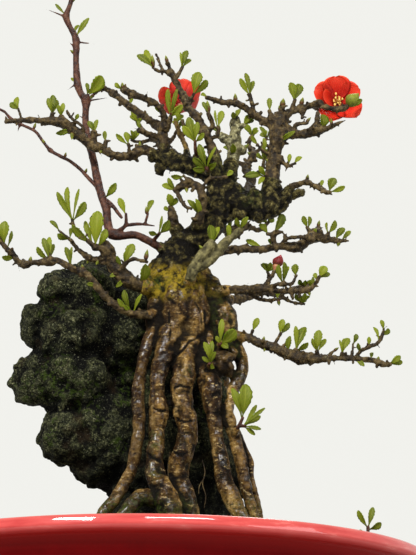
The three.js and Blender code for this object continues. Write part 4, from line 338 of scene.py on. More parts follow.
         [45, 193.5, 14, 2.6], [46, 197, 15, 1.8]],
        "twigs": [[[44.5, 184, 0, 2.2], [39.5, 187, 1, 2], [36, 190, 2, 1.2]], [[45, 191.5, 0, 1.3],
         [50, 193.5, -2, 1]], [[44, 178, 0, 1.8], [49.5, 181.5, -2, 1.8]]],
        "leaves": [[45.5, 194, 44, 200, 2.6, -2], [46, 197, 47.5, 201.5, 2.6, 1],
         [50, 193.5, 52.5, 198.5, 3.6, -1], [50, 193.5, 54.4, 196, 2.6, 1],
         [44.5, 178, 43.8, 184, 3.4, -8], [36, 190, 33.5, 193.5, 2.4, 2]],
        "buds": [[49.5, 181.5, 52, 184, 2.4, 0], [36, 190, 37, 194, 2.2, 1]],
        "knobs": [[49.3, 181.8, 2.9], [39.5, 187, 2.6], [44.8, 184.5, 3.8], [45.4, 194, 3]]},
    "branch_right_upper": {"on": "trunk",
        "stem": [[62, 154, 6, 4.9], [63.5, 165, 7, 4.3], [64, 171, 8, 3.7], [64.3, 178.5, 8, 3.6],
         [66.5, 186, 8, 4.6], [67.5, 192, 9, 4.8], [67.8, 197.5, 9, 3.6], [68, 200, 9, 2]],
        "twigs": [[[65, 192.5, 0, 2.2], [60, 195, 0, 2], [55, 198.5, -1, 1.8], [50, 202, -2, 1.8],
         [45.5, 204.5, -3, 2], [40, 204.7, -4, 1.4], [35, 206, -4, 1.4], [30.5, 207.5, -4, 1.1]],
         [[54.5, 199, 0, 1.4], [53.5, 204, -3, 1.3], [52, 209, -4, 1.2]], [[65, 195, 0, 1.4],
         [62, 201, -3, 1.2]], [[68, 198, 0, 1.6], [69, 203, -3, 1.3]], [[68.5, 196, 0, 2.2],
         [72.5, 200, 1, 2], [77.5, 201.5, 1, 1.8], [82.5, 203, 0, 1.6], [86.5, 204.5, -4, 1.4],
         [90, 202.5, -7, 1.3], [95, 201.5, -8, 1.25], [99.5, 202, -9, 1.2], [102, 203.6, -10, 1]],
         [[84.5, 203.7, 0, 1.3], [85.3, 201.6, 6, 1.2], [89.5, 200.4, 13.2, 1.2],
         [92.3, 200.2, 15.4, 1.2]], [[73, 200.3, 0, 1.3], [75, 206.5, -2, 1.1]], [[79, 201.5, 0, 1],
         [78.5, 196.5, -2, 0.8]], [[77.5, 201.5, 0, 1.1], [78.5, 204, -1, 1]], [[67.5, 190.5, 0, 2.6],
         [75, 189, -4, 2.4], [80, 189, -7, 2.4], [86, 191, -10, 2.8], [91, 191.5, -13, 1.7],
         [93.5, 193, -14, 1.2], [100.5, 196, -16, 0.4]], [[86, 191, 0, 1.6], [86.3, 198, -1, 1.3],
         [86.5, 200, -1, 1]], [[75, 189.5, 0, 1.2], [75.5, 193.5, -2, 1.1], [81.5, 194.5, -3, 0.9]],
         [[64.5, 178, 0, 1.2], [59.5, 180, -2, 1], [56, 184, -3, 0.8]], [[64.5, 175, 0, 1.4],
         [67.5, 176, -2, 1.3], [71, 173, -3, 1.1], [75.5, 174.5, -4, 0.8]], [[63.5, 168.5, 0, 1.2],
         [59, 167.5, -6, 0.9]]],
        "leaves": [[52, 209, 47.5, 216.8, 3.2, -2], [52, 209, 50.2, 219.5, 3, 0],
         [52, 209, 54.2, 215.6, 2.6, 2], [62, 201, 62.2, 207, 3, 0], [75, 206.5, 72.8, 214.8, 5, -2],
         [75, 206.5, 77.4, 214, 5, 1], [89, 192, 88.3, 198.8, 5.6, -3], [69, 184, 75, 190.4, 2.6, -7],
         [56, 184, 53.4, 188, 2.6, 0], [60, 180, 59.3, 187, 2.4, -2], [59, 167.5, 57, 173, 3, -5],
         [59, 167.5, 50, 168, 3.6, -3], [59, 167.5, 56.8, 164, 2.6, -5], [72, 172.8, 72.5, 179, 2.4, -1],
         [75.5, 174.5, 78.5, 177.5, 2.6, -1], [102, 203.6, 108.6, 206.2, 3.4, -2],
         [30.5, 207.5, 28, 209, 2.2, 2]],
        "buds": [[69, 203, 69.2, 207, 3.2, 0], [78.5, 204, 79, 207.5, 2.6, 0],
         [81.5, 194.5, 83, 197.5, 1.8, 0], [62, 174, 60.2, 176.5, 2.4, -2],
         [102, 203.6, 107, 209.4, 7.2, -1], [93.5, 193, 93, 197, 1.8, 1], [45.5, 205, 45, 209.5, 2.4, 0],
         [68, 200, 67, 203.5, 2.6, 2]],
        "thorns": [[60, 195, 57, 191, -2], [95, 201.5, 97, 197, 1], [71, 173, 70, 169.5, 0]],
        "knobs": [[45.5, 204.5, 2.4], [67, 189, 5.2], [86, 191, 3.4], [66.5, 195.5, 4], [77.5, 201.5, 2.4],
         [99, 202.2, 2.3], [64.2, 174.5, 4], [55, 198.5, 2.3], [72, 190, 3], [86.5, 204.3, 2.4],
         [80, 189, 2.8]]},
    "branch_right_short": {"on": "trunk",
        "stem": [[68.5, 156.5, 4, 2], [73.2, 162.6, 1, 1.7], [76, 163.5, -1, 1.5], [81, 165, -4, 1.4],
         [84, 163.5, -7, 1.3], [87.5, 162, -10, 1.3], [91, 159.8, -13, 1.2], [93, 160, -15, 1]],
        "leaves": [[92.5, 160.5, 95, 167, 4.8, -2], [93, 160, 100, 162.8, 2.8, -1],
         [88, 161.8, 88.8, 166, 2, 1]],
        "buds": [[81, 165, 81.5, 169, 2, 0]],
        "thorns": [[84, 163.5, 85, 159.5, 0]],
        "knobs": [[81, 165, 1.9], [87.5, 162, 1.8]]},
    "branch_arch": {"on": "trunk",
        "stem": [[26, 140, -2, 2.6], [26.6, 145, -10, 2.4], [28, 150, -12, 2.2], [29, 156, -13, 2.2],
         [28.3, 160, -13, 2.1], [26.5, 162.7, -13, 2.1], [22.5, 164, -12, 2.1], [18.5, 163, -11, 2.1],
         [14.8, 160, -10, 1.6]],
        "twigs": [[[15.5, 160.3, 0, 1.2], [19.5, 153.5, -3, 1], [23.5, 151.5, -5, 0.8]], [[28, 161, 0, 1],
         [32, 166.5, -2, 0.9], [41.5, 167.5, -3, 0.7]], [[24, 163.7, 0, 0.9], [19, 168.5, -3, 0.7]]],
        "leaves": [[19, 168.5, 13, 168, 2.6, -1], [15, 161, 11.5, 167, 2.6, -2],
         [14.8, 160, 8.5, 163.5, 3.6, -2], [27, 147.5, 21.3, 156, 3.2, -5],
         [27, 147.5, 25.4, 156.5, 3, -7], [41.5, 167.5, 44, 170.5, 2.6, -1]],
        "buds": [[20.5, 163.5, 21, 159.5, 2, -2]],
        "knobs": [[28.8, 157, 2.6], [20.5, 164, 2.5]]},
    "branch_left_dark": {"on": "trunk",
        "stem": [[18, 134, -2, 3], [15, 142.8, -6, 2.6], [14, 146, -7, 2.4], [13, 151, -7, 1.7],
         [12.6, 153, -7, 1.1]],
        "leaves": [[12.8, 152, 11.6, 159, 4, -5], [12.8, 152, 16, 157, 2.6, 1],
         [13.3, 150, 9.5, 152.5, 2.4, 1]],
        "knobs": [[13.6, 147.5, 2.7]]},
    "branch_left_main": {"on": "trunk",
        "stem": [[7, 112, -4, 4], [-2, 113, -8, 3.8], [-6, 114.5, -9, 3.7], [-10, 117, -10, 3.7],
         [-14.5, 122, -11, 3.7], [-17.5, 127, -12, 3.6], [-19.5, 132, -13, 3.2], [-20.5, 135, -14, 2.2]],
        "twigs": [[[-19, 131.5, 0, 2], [-23, 132.3, -2, 1.6], [-26, 131.5, -4, 1.3]],
         [[-26, 131.5, 0, 1.3], [-30, 137, -2, 1.1], [-34.5, 140, -3, 1], [-36.5, 146.5, -4, 0.9]],
         [[-17.5, 127.5, 0, 1.6], [-23, 126.3, 1, 1.5], [-28, 127, 1, 1.4], [-33.5, 131.5, 1, 1.1],
         [-37.5, 136.5, 0, 0.9]], [[-37.5, 136.5, 0, 0.8], [-43.5, 141, 1, 0.7]], [[-13, 120, 0, 1.6],
         [-10.5, 123.5, -4, 1.2], [-6, 126.5, -6, 0.9], [1.5, 125, -8, 0.8]]],
        "leaves": [[-25, 132, -23.5, 150.5, 7.6, -3], [-27, 133, -36.5, 143.6, 4, -5],
         [-26, 132.5, -30, 145.5, 3.2, 0], [-24, 132.5, -19.4, 141.5, 4, -3],
         [-36.5, 146.5, -44, 160, 3.4, -2], [-36.5, 146.5, -38.8, 162.5, 3, 1],
         [-36.5, 147, -29.8, 155, 4.2, -1], [-36.5, 146.5, -33, 161.5, 1.8, 2],
         [-37.5, 136.5, -43.8, 139, 3.2, -3], [-43.5, 141, -47.5, 145.6, 2.4, 0],
         [-37.5, 136.5, -37, 142, 2.2, 2], [-10.5, 123.5, -5.8, 134, 5, -1],
         [-10.5, 123.5, -9.6, 130, 2.8, 1], [-12, 122.5, -14, 128, 2.4, -3],
         [-13.5, 119, -17.5, 117.6, 2.2, -2], [-10, 116.5, -14.5, 112.5, 2.4, -2],
         [-2.5, 113.5, 0.3, 124, 5, -7]],
        "buds": [[-23, 126.3, -24.5, 123.5, 2, -1], [1.5, 125, 1.2, 131.5, 2.4, 0],
         [-28, 127, -29, 124, 1.8, 0]],
        "thorns": [[-30, 137, -28, 140.5, 2]],
        "knobs": [[-19, 130, 4], [-10, 117, 4.1], [-23.3, 132, 2.2], [-28, 127.3, 2]]},
    "branch_lower_left": {"on": "trunk",
        "stem": [[8, 99, -6, 2.4], [0.3, 98.8, -13, 2], [-5, 99, -15, 1.9], [-10, 100.5, -17, 1.8],
         [-15, 104, -18, 1.8], [-20, 108, -19, 1.8], [-24, 113, -20, 1.8], [-27.5, 117.5, -20, 1.8],
         [-31, 120, -20, 2], [-35, 121, -21, 1.8], [-39.5, 123.5, -22, 1.8], [-44, 126, -23, 1.7],
         [-47.5, 125.5, -24, 2.3], [-52.5, 125, -25, 1.5], [-57.5, 124.5, -26, 1.5],
         [-60.5, 123.5, -26, 2], [-63.5, 125.5, -27, 1.4], [-66.5, 129, -28, 1.7], [-69.5, 132, -29, 1.3],
         [-72.5, 136, -30, 1.1], [-74.5, 139, -30, 0.8]],
        "leaves": [[-70, 133, -70, 145.5, 5.6, -3], [-72.5, 136, -77.5, 142.5, 4, 1],
         [-69, 131.5, -66.6, 140.5, 1.8, -1], [-65, 127, -71.5, 127.5, 3, -2],
         [-48, 126, -54, 132.5, 3.2, -3], [-48, 126, -51, 137, 3.4, -1], [-48, 126, -47.8, 137.5, 3.2, 1],
         [-48, 126, -45.6, 134, 2.4, 3], [-37, 122.3, -39.8, 132.5, 3, -1],
         [-37, 122.3, -36.6, 132.5, 1.8, 1], [-24.5, 113, -29, 114, 2.2, -3],
         [-7, 99.5, -10.5, 111, 3.2, -2], [-6, 99.2, -1.6, 109, 1.8, -4],
         [-9, 100.2, -13.6, 106.5, 2.4, -4], [-6.5, 99.3, -11, 103.5, 2.2, -5]],
        "buds": [[-57.5, 124.5, -57, 128, 2, 0], [-31, 120, -31.5, 124, 2.2, 1],
         [-74.5, 139, -75.5, 141.5, 1.8, -2]],
        "thorns": [[-64, 126, -62.5, 119.5, -1], [-20, 108, -23.5, 107.5, -2]],
        "knobs": [[-47.5, 125.5, 2.6], [-60.5, 123.5, 2.3], [-31.5, 120, 2.4], [-66.5, 129, 2],
         [-20, 108, 2.2]]},
    "branch_front_grey": {"on": "trunk", "bark": "ochre",
        "stem": [[20, 111, -6, 3], [22.6, 117.5, -15.5, 2.8], [24, 121, -16.5, 2.8], [27, 126, -17, 2.7],
         [30.5, 130.5, -17, 2.7], [34, 134.5, -16, 2.3]],
        "twigs": [[[24.5, 121.5, 0, 2.4], [31, 124.5, 1, 2.4], [37, 131, 3, 2.4], [42, 136.5, 4, 2.2],
         [48.5, 142, 6, 1.4]]],
        "leaves": [[34, 134.5, 32.6, 143.5, 4.6, -2], [34, 134.5, 37, 142.5, 3.2, 1],
         [41, 136.5, 41.6, 143.5, 3, -3], [48.5, 142, 51.5, 147.5, 3, -5], [48.5, 142, 45.6, 147, 2.6, -4]],
        "buds": [[30, 130, 27, 133.5, 2.2, -1]],
        "knobs": [[24.2, 121.2, 3.2], [37, 131.2, 2.8], [34, 134.5, 2.6]]},
    "branch_right_third": {"on": "trunk",
        "stem": [[22, 128, 0, 2.6], [31.5, 128.8, 1, 2.1], [36, 129.5, 2, 2], [43.5, 131, 4, 1.9],
         [50, 131.5, 6, 1.9], [60, 131.5, 8, 1.9], [67.5, 133, 10, 1.9], [73, 132.5, 11, 2.3],
         [76.5, 132.5, 12, 2.4], [81, 135.5, 13, 2.2], [85, 138, 14, 3], [90, 136.5, 15, 1.8],
         [94, 136, 16, 1.6], [98, 135.5, 17, 1.2], [102, 135.5, 18, 0.5]],
        "twigs": [[[65, 132.5, 0, 1.2], [64.2, 138.7, -2, 1.2], [69, 140, -3, 1]], [[64.2, 138.7, 0, 1.1],
         [60.5, 139, -1, 1]], [[68, 133, 0, 1.2], [70, 136.3, -3, 1.1], [77.5, 137.5, -4, 1.1],
         [84, 136.8, -3, 1.1]], [[84, 138, 0, 1.4], [80.8, 142.5, -2, 1.1]], [[86, 138.5, 0, 1.1],
         [86.8, 143, 2, 0.9]], [[90.5, 136.5, 0, 1], [92, 140, -2, 0.8]]],
        "leaves": [[80.8, 142.5, 79, 148, 3, -1], [80.8, 142.5, 82.2, 147.8, 2.6, 1],
         [92, 140, 95.2, 145.8, 3.4, -1], [92, 140, 90.8, 144.8, 1.6, 1], [95, 136, 99.8, 142, 3.8, -1],
         [98, 135.8, 102.8, 140.5, 2.6, 1], [64.2, 139, 69, 149, 5, 1], [60.5, 139, 57, 143.8, 3.4, -1],
         [60, 131.8, 50.5, 136, 3, 2], [64, 133, 62, 136.6, 2.2, 3], [84, 138, 85.6, 141.8, 2.2, -3]],
        "buds": [[79, 134, 78.2, 131, 2, -1], [86.8, 143, 87.2, 146, 2, 0],
         [97, 135.6, 96.4, 132.6, 2.2, 0]],
        "thorns": [[70.5, 136.5, 71, 140.4, -1], [60, 131.5, 56, 127.5, 0]],
        "knobs": [[76, 132.7, 3.2], [84.8, 137.8, 3.6], [64.3, 138.7, 1.8], [73, 132.5, 2.6],
         [50, 131.5, 2.4], [90, 136.5, 2.2]]},
    "branch_right_fourth": {"on": "trunk",
        "stem": [[33, 110, -4, 2.5], [42.6, 111, -9, 2.1], [50, 111, -11, 2.1], [56.5, 111.5, -14, 2.3],
         [62, 111.3, -17, 1.7], [67.5, 110.5, -19, 1.4], [75, 110.5, -22, 1.4], [81.5, 111, -25, 1.3],
         [84.5, 113.5, -26, 1.2], [87.5, 118, -28, 1]],
        "twigs": [[[60.5, 111.4, 0, 1.3], [66, 113.8, -4, 1], [73, 114, -5, 0.9], [76, 118.5, -6, 0.8]],
         [[58.5, 111.5, 0, 1.4], [63, 117.5, 2, 1.2], [65, 120.5, 2, 1.1]], [[73, 110.5, 0, 1],
         [74, 106, 0, 0.7]], [[50, 111, 0, 1.2], [58.5, 106, 3, 1], [69, 106.8, 4, 0.8]]],
        "leaves": [[87.5, 118, 90.6, 122.8, 4.6, -1], [86, 115.5, 84.8, 119.5, 2.4, 0],
         [76, 118.5, 75.2, 124, 3.8, -1], [69, 114, 66.6, 123.6, 3, -3], [69, 114, 69.6, 125, 3, -5],
         [69, 114, 71.8, 122.8, 2.8, -1], [66, 106.6, 67, 110, 2.2, 2], [87.5, 118, 92.5, 119.2, 2.8, 1]],
        "buds": [[66.5, 106.6, 67.2, 103, 1.9, 0], [81.5, 111, 82.6, 108, 1.8, 0]],
        "thorns": [[50, 111, 52, 115.5, -1]],
        "knobs": [[56.5, 111.5, 2.8], [50, 111, 2.5], [69, 113.9, 1.6], [81.5, 111, 1.8]]},
    "branch_right_long": {"on": "trunk",
        "stem": [[40, 88, -4, 2.8], [50.3, 87.6, -8, 2.2], [55, 85.5, -9, 2.2], [60, 83.5, -11, 2.2],
         [65, 82, -13, 2.2], [70, 79.5, -14, 2.7], [77.5, 77, -16, 3], [83, 76.7, -17, 2.4],
         [87.5, 76.5, -18, 2], [94, 76.8, -19, 1.6], [100, 77, -20, 1.4], [107, 76.5, -21, 1.3],
         [112.5, 76, -22, 1.3], [116.5, 75, -23, 1.4], [120, 73.5, -24, 1.4], [123, 74, -25, 1]],
        "twigs": [[[52.5, 87, 0, 1.1], [54, 91, -2, 0.9]], [[64, 82.5, 0, 1.1], [68, 89.5, -3, 0.9]],
         [[75.5, 78, 0, 1.3], [75.5, 81.5, -2, 1.1]], [[86.5, 77, 0, 1.2], [86, 81, -2, 1]],
         [[89.5, 77, 0, 1], [95, 80.8, 1, 0.7]], [[98.5, 77, 0, 1], [98.5, 80, -2, 0.9]],
         [[103.5, 77, 0, 0.9], [104, 84.5, 1, 0.7]], [[105, 76.7, 0, 1.1], [108.5, 81, -3, 1],
         [116.5, 84.5, -5, 0.9], [118.5, 88, -5, 0.8], [119.5, 92, -5, 0.7]]],
        "leaves": [[54, 91, 56.6, 97, 3.4, -1], [68, 89.5, 69, 96.4, 3.6, -1],
         [68, 89.5, 72.2, 94.4, 3, 1], [71.5, 79.5, 72.6, 88, 3, -3], [75.5, 81.5, 75.3, 93, 2.8, -1],
         [75.5, 81.5, 80.2, 92.5, 4.8, 1], [75.5, 81.5, 81.6, 84.6, 3, -4], [86, 81, 87, 91, 4.4, 0],
         [86, 81, 90.4, 86.5, 2.6, 2], [86, 81, 83.6, 86.8, 2.2, -3], [98.5, 80, 97.2, 86, 1.6, -1],
         [98.5, 80, 101.8, 87, 3.8, 1], [104, 84.5, 105.8, 89, 2.6, 0], [107.5, 80, 106.4, 84.4, 2.2, -3],
         [112, 82.5, 112, 87.6, 2.2, -1], [117, 85.5, 114.2, 92.5, 1.8, 1], [118.5, 88, 122.2, 91.4, 3, 1],
         [119.5, 92, 118, 96, 2.4, -1], [105, 76, 109.6, 73, 2.4, -2], [122.5, 74, 127.8, 78, 3.2, -1],
         [123, 74, 128.8, 75, 3, 1], [113, 76, 113.4, 79.8, 2, 2]],
        "buds": [[59, 84, 59.6, 88, 2, 0], [60.5, 83, 59.4, 80, 1.8, -1], [116.5, 75, 116.8, 78, 1.9, 0],
         [95, 80.8, 97, 82.4, 1.6, 0]],
        "thorns": [[66, 81.5, 63.5, 77.5, 0], [94, 76.8, 95, 73, 0]],
        "knobs": [[67.5, 80, 2.6], [71.8, 80, 2.8], [77.5, 77, 3.5], [83, 76.8, 2.9], [60, 83.5, 2.7],
         [107, 76.6, 1.9], [118, 74.5, 1.9], [75.5, 80, 1.8]]},
    "tuft_burr": {"on": "trunk", "bark": "leaf",
        "stem": [[35, 72, -10, 1.4], [32.6, 73.5, -18, 1.2], [32.2, 74.5, -20, 1]],
        "leaves": [[32.2, 74.5, 29.5, 85, 3.2, -3], [32.2, 74.5, 33.6, 85.5, 3, -2],
         [32.2, 74.5, 35.4, 80, 2.4, -4], [32.2, 74.5, 28.6, 77.5, 2.2, -2],
         [32.2, 74.5, 34.5, 72, 2.4, -4]]},
    "tuft_hollow": {"on": "trunk", "bark": "leaf",
        "stem": [[39, 84, -5, 1.4], [37.6, 83.6, -13.4, 1.2], [37.8, 84, -16, 1]],
        "leaves": [[37.8, 84, 38.6, 96.5, 3.2, -2], [37.8, 84, 45.4, 91, 6.4, -3],
         [37.8, 84, 41.6, 82, 3, -4], [37.8, 84, 35.6, 88, 2.2, -1]]},
    "tuft_root_foot": {"on": "trunk", "bark": "leaf",
        "stem": [[44.6, 38, -13, 1.2], [46.4, 42, -18, 1], [48, 45, -19, 0.9], [49, 47.5, -20, 0.8]],
        "twigs": [[[46.8, 43, 0, 0.9], [50.5, 43, -2, 0.8]]],
        "leaves": [[49, 47.5, 50.4, 64, 6.8, -2], [49, 47.5, 43.4, 62, 4, -3], [50.5, 43, 60, 52, 2, -2],
         [50.5, 43, 55.8, 53.5, 2.4, 1], [50.5, 43, 57.8, 48, 2.6, 2], [50.5, 43, 58, 41.4, 2.2, -1],
         [50.5, 43, 55, 38.5, 2.2, 1]]},
    "branch_back_high": {"on": "trunk",
        "stem": [[52, 154, 6, 3.2], [51.5, 156.5, 17, 2.8], [51, 160, 24, 2.5], [53, 166, 33, 2.2],
         [50.5, 172, 42, 1.9], [54, 178, 50, 1.7], [52, 184, 57, 1.4], [54, 189, 62, 1]],
        "twigs": [[[52.5, 167, 0, 1.3], [58, 171, 6, 1.1], [60, 177, 11, 0.9]], [[51, 172.5, 0, 1.3],
         [45, 176, 5, 1.1], [42, 181, 9, 0.9]], [[53.5, 178.5, 0, 1.2], [59, 183, 3, 1],
         [61, 188, 6, 0.8]]],
        "buds": [[54, 166, 50, 168, 2.2, 0], [54, 178, 51, 180, 2, -2]],
        "thorns": [[50.5, 172, 55, 171, 3]],
        "knobs": [[53, 166, 2.7], [50.8, 172, 2.4], [53.8, 178, 2.2]],
        "tufts": [[54, 189, 5, 8], [60, 177, 5, 7.5], [42, 181, 5, 7.5], [61, 188, 5, 7]]},
    "branch_back_left": {"on": "trunk",
        "stem": [[20, 173, 4, 2.8], [18.5, 175.5, 13, 2.4], [14, 179, 21, 2.1], [9, 182, 31, 1.9],
         [5, 187, 40, 1.6], [0, 190, 48, 1.3], [-4, 195, 54, 1]],
        "twigs": [[[9.5, 182, 0, 1.3], [14, 187, 6, 1.1], [17, 193, 9, 0.9]], [[5, 187, 0, 1.2],
         [-2, 185, 6, 1], [-7, 186, 10, 0.8]]],
        "buds": [[14, 179, 12, 175.5, 2, 0]],
        "thorns": [[5, 187, 8, 191, 2]],
        "knobs": [[9, 182, 2.5], [5, 187, 2.2], [14, 179, 2.6]],
        "tufts": [[-4, 195, 5, 8], [17, 193, 5, 7.5], [-7, 186, 5, 7]]},
    "branch_back_low": {"on": "trunk",
        "stem": [[28, 140, 2, 3], [31, 141.5, 13, 2.6], [36.5, 142.5, 22, 2.2], [44, 140, 32, 1.9],
         [50, 143, 43, 1.6], [57, 141, 51, 1.3], [62, 145, 57, 0.9]],
        "twigs": [[[44, 140, 0, 1.3], [46, 147, 5, 1.1], [44, 152, 10, 0.8]], [[50, 143, 0, 1.2],
         [46, 138, 8, 1], [40, 139, 14, 0.8]]],
        "buds": [[36.5, 142.5, 35, 146, 2.2, 1]],
        "thorns": [[50, 143, 54, 147, 1]],
        "knobs": [[44, 140, 2.5], [50, 143, 2.1]],
        "tufts": [[62, 145, 5, 8], [44, 152, 5, 7.5], [40, 139, 5, 7]]},
    "branch_back_right": {"on": "trunk",
        "stem": [[36, 104, 0, 2.8], [42.5, 106, 9, 2.4], [50, 107, 18, 2.1], [58, 110, 28, 1.8],
         [67, 109, 38, 1.5], [75, 112, 46, 1.2], [82, 112, 52, 0.9]],
        "twigs": [[[58, 110, 0, 1.2], [62, 115, 6, 1], [61, 121, 10, 0.8]], [[67, 109, 0, 1.1],
         [73, 105, 4, 0.9], [80, 104, 7, 0.7]]],
        "buds": [[50, 107, 50, 111, 2.2, 0]],
        "thorns": [[67, 109, 69, 113.5, 1]],
        "knobs": [[58, 110, 2.3], [67, 109, 2], [50, 107, 2.5]],
        "tufts": [[82, 112, 5, 8], [61, 121, 5, 7.5], [80, 104, 5, 7]]},
    "sucker_in_soil": {"on": "soil", "bark": "leaf",
        "stem": [[111.5, -34, -55, 0.9], [111.5, -22, -55, 0.9], [111.5, -14, -55, 0.9],
         [111.5, -7, -55, 0.8]],
        "leaves": [[111.5, -8, 106.4, 0.8, 2.8, -1], [111.5, -8, 114, 2.4, 3, 1],
         [111.5, -9, 118.2, -5.5, 3.2, 0], [111.5, -12, 106, -10, 2.4, 3]]},
}

# Blooms: the calyx starts at "foot", the petals open round "heart" along "axis" (across, up, depth),
# and a petal is [turn in degrees, length, width, rise towards the axis in degrees]
BLOOMS = {
    "bloom_front": {
        "foot": [94.4, 200.9, 22], "heart": [96.1, 203.4, 16.4], "axis": [0.04, 0.42, -0.9],
        "petals": [[94, 14, 14.5, 32], [24, 14.5, 13, 34], [-50, 16.8, 14, 24], [-112, 17, 14, 26],
                   [164, 15, 13.5, 32], [188, 12, 11, 50]],
        "stamens": 12,
    },
    "bloom_rear": {
        "foot": [20.5, 201.8, 4.1], "heart": [19.2, 203.6, 11.5], "axis": [-0.2, 0.62, 0.75],
        "petals": [[88, 12.5, 12.5, 40], [14, 14, 13.5, 38], [-52, 14, 13, 32], [-122, 14, 13, 32],
                   [188, 14, 14.5, 34]],
        "stamens": 18,
    },
}

# Closed flower bud at the end of its spur
FLOWER_BUD = {"foot": [65.3, 121.05, -12.9], "tip": [68, 128.7, -12.2], "width": 5.4}

# Lights: name, spot, point that it faces, width, depth and power
LIGHTS = [
    ["key_light", [-380, -760, 820], [20, 0, 200], 250, 130, 15.5],
    ["strip_light", [240, -760, 800], [20, 0, 150], 400, 90, 7.5],
    ["fill_light", [820, -520, 420], [20, 0, 200], 520, 520, 3],
    ["rim_light", [250, 500, 1100], [20, 0, 230], 300, 300, 3],
]


# Placing and shaping

def unit(vectors):
    """Vectors scaled to length 1."""
    vectors = np.asarray(vectors, float)
    return vectors / np.linalg.norm(vectors, axis=-1, keepdims=True)


def place(spots):
    """Where [across, up, depth] lies: the point of the sight line through (across, up) on the upright aim
    plane, carried along that line to the given depth."""
    spots = np.asarray(spots, float)
    across, up, depth = spots[..., 0], spots[..., 1], spots[..., 2]
    rise = up - AIM_UP
    on_plane = np.stack(
        [across, -rise * math.sin(VIEW_TILT), AIM_HEIGHT + rise * math.cos(VIEW_TILT)], -1)
    reach = (depth - EYE[1]) / (on_plane[..., 1] - EYE[1])
    return EYE + (on_plane - EYE) * reach[..., None]


def full_turn(sides):
    """Angles spaced evenly round a circle."""
    return np.linspace(0, 2 * math.pi, sides, endpoint=False)


def fade(value, low, high):
    """0 below low, 1 above high, and the curve 3t^2 - 2t^3 between them."""
    t = np.clip((value - low) / (high - low), 0, 1)
    return t * t * (3 - 2 * t)


def band(value, low, full, falling, high):
    """0 outside low to high and 1 between full and falling, with a fade at each side."""
    return fade(value, low, full) * (1 - fade(value, falling, high))


def hashed(cells, seed):
    """A scattered whole number below 2^32 for each cell of a cubic lattice, from its three indices."""
    key = cells @ np.array([73856093, 19349663, 83492791]) + seed * 7919
    return ((key ^ (key >> 13)) * 1274126177) & 0xFFFFFFFF


def lattice_noise(points, size, seed):
    """Smooth noise between -1 and 1: a hashed value at each corner of a cubic lattice of the given size,
    blended across the cell with the curve 3t^2 - 2t^3."""
    scaled = np.asarray(points, float) / size + 11.7 * seed
    cell = np.floor(scaled).astype(np.int64)
    t = scaled - cell
    t = t * t * (3 - 2 * t)
    total = np.zeros(scaled.shape[:-1])
    for corner in np.ndindex(2, 2, 2):
        corner = np.array(corner)
        key = hashed(cell + corner, seed)
        value = ((key ^ (key >> 15)) & 0xFFFF) / 32767.5 - 1
        total += value * np.prod(np.where(corner, t, 1 - t), axis=-1)
    return total


def layered_noise(points, size, octaves, seed):
    """Noise added up over octaves: each has half the size and just over half the height of the last."""
    total = np.zeros(np.shape(points)[:-1])
    for octave in range(octaves):
        total += 0.55 ** octave * lattice_noise(points, size / 2 ** octave, seed + octave)
    return total


def smooth_rows(rows, step):
    """Rows resampled about every step millimetres along a Catmull-Rom curve through them."""
    rows = np.asarray(rows, float)
    padded = np.vstack([2 * rows[0] - rows[1], rows, 2 * rows[-1] - rows[-2]])
    spans = []
    for k in range(len(rows) - 1):
        p0, p1, p2, p3 = padded[k:k + 4]
        count = max(2, int(np.linalg.norm((p2 - p1)[:3]) / step))
        t = np.arange(count)[:, None] / count
        spans.append(0.5 * (2 * p1 + (p2 - p0) * t + (2 * p0 - 5 * p1 + 4 * p2 - p3) * t ** 2
                            + (3 * p1 - p0 - 3 * p2 + p3) * t ** 3))
    return np.vstack([*spans, rows[-1:]])


def bead_noise(points, size, seed):
    """Rounded beads packed side by side: 1 at the middle of each bead and falling to 0 at its edge. Each
    cell of a cubic lattice holds one hashed point, and a bead is one less the distance to the nearest."""
    scaled = np.asarray(points, float) / size + 5.3 * seed
    cell = np.floor(scaled).astype(np.int64)
    nearest = np.full(scaled.shape[:-1], 9.0)
    for corner in np.ndindex(3, 3, 3):
        home = cell + np.array(corner) - 1
        key = hashed(home, seed)
        jitter = np.stack([((key >> shift) & 0xFF) / 255 for shift in (3, 11, 19)], -1)
        nearest = np.minimum(nearest, ((home + jitter - scaled) ** 2).sum(axis=-1))
    return 1 - np.sqrt(np.clip(nearest, 0, 1))


# Surfaces: each is a part, with points, four-sided and three-sided faces, and two marks for each point

def closed_rings(rings, start, end, marks=None):
    """A surface through rings of points, rings[k, i] being point i of ring k, closed round and closed at
    both ends by a fan of triangles to the start and end points."""
    count, sides = rings.shape[:2]
    points = np.vstack([rings.reshape(-1, 3), start, end])
    row = np.arange(count - 1)[:, None] * sides
    i = np.arange(sides)
    j = (i + 1) % sides
    quads = np.stack([row + i, row + j, row + sides + j, row + sides + i], -1).reshape(-1, 4)
    first, last = count * sides, count * sides + 1
    top = (count - 1) * sides
    triangles = np.vstack([
        np.stack([np.full(sides, first), j, i], -1),
        np.stack([np.full(sides, last), top + i, top + j], -1),
    ])
    if marks is None:
        marks = np.zeros((count, sides, 2))
    marks = np.vstack([marks.reshape(-1, 2), marks[0].mean(axis=0), marks[-1].mean(axis=0)])
    return {"points": points, "quads": quads, "triangles": triangles, "marks": marks}


def joined(parts):
    """Several parts as one, their faces counted on from one another."""
    offsets = np.cumsum([0] + [len(part["points"]) for part in parts[:-1]])
    whole = {key: np.vstack([part[key] for part in parts]) for key in ("points", "marks")}
    for key in ("quads", "triangles"):
        whole[key] = np.vstack([part[key] + n for part, n in zip(parts, offsets)])
    if "tone" in parts[0]:
        whole["tone"] = np.concatenate([part["tone"] for part in parts])
    return whole


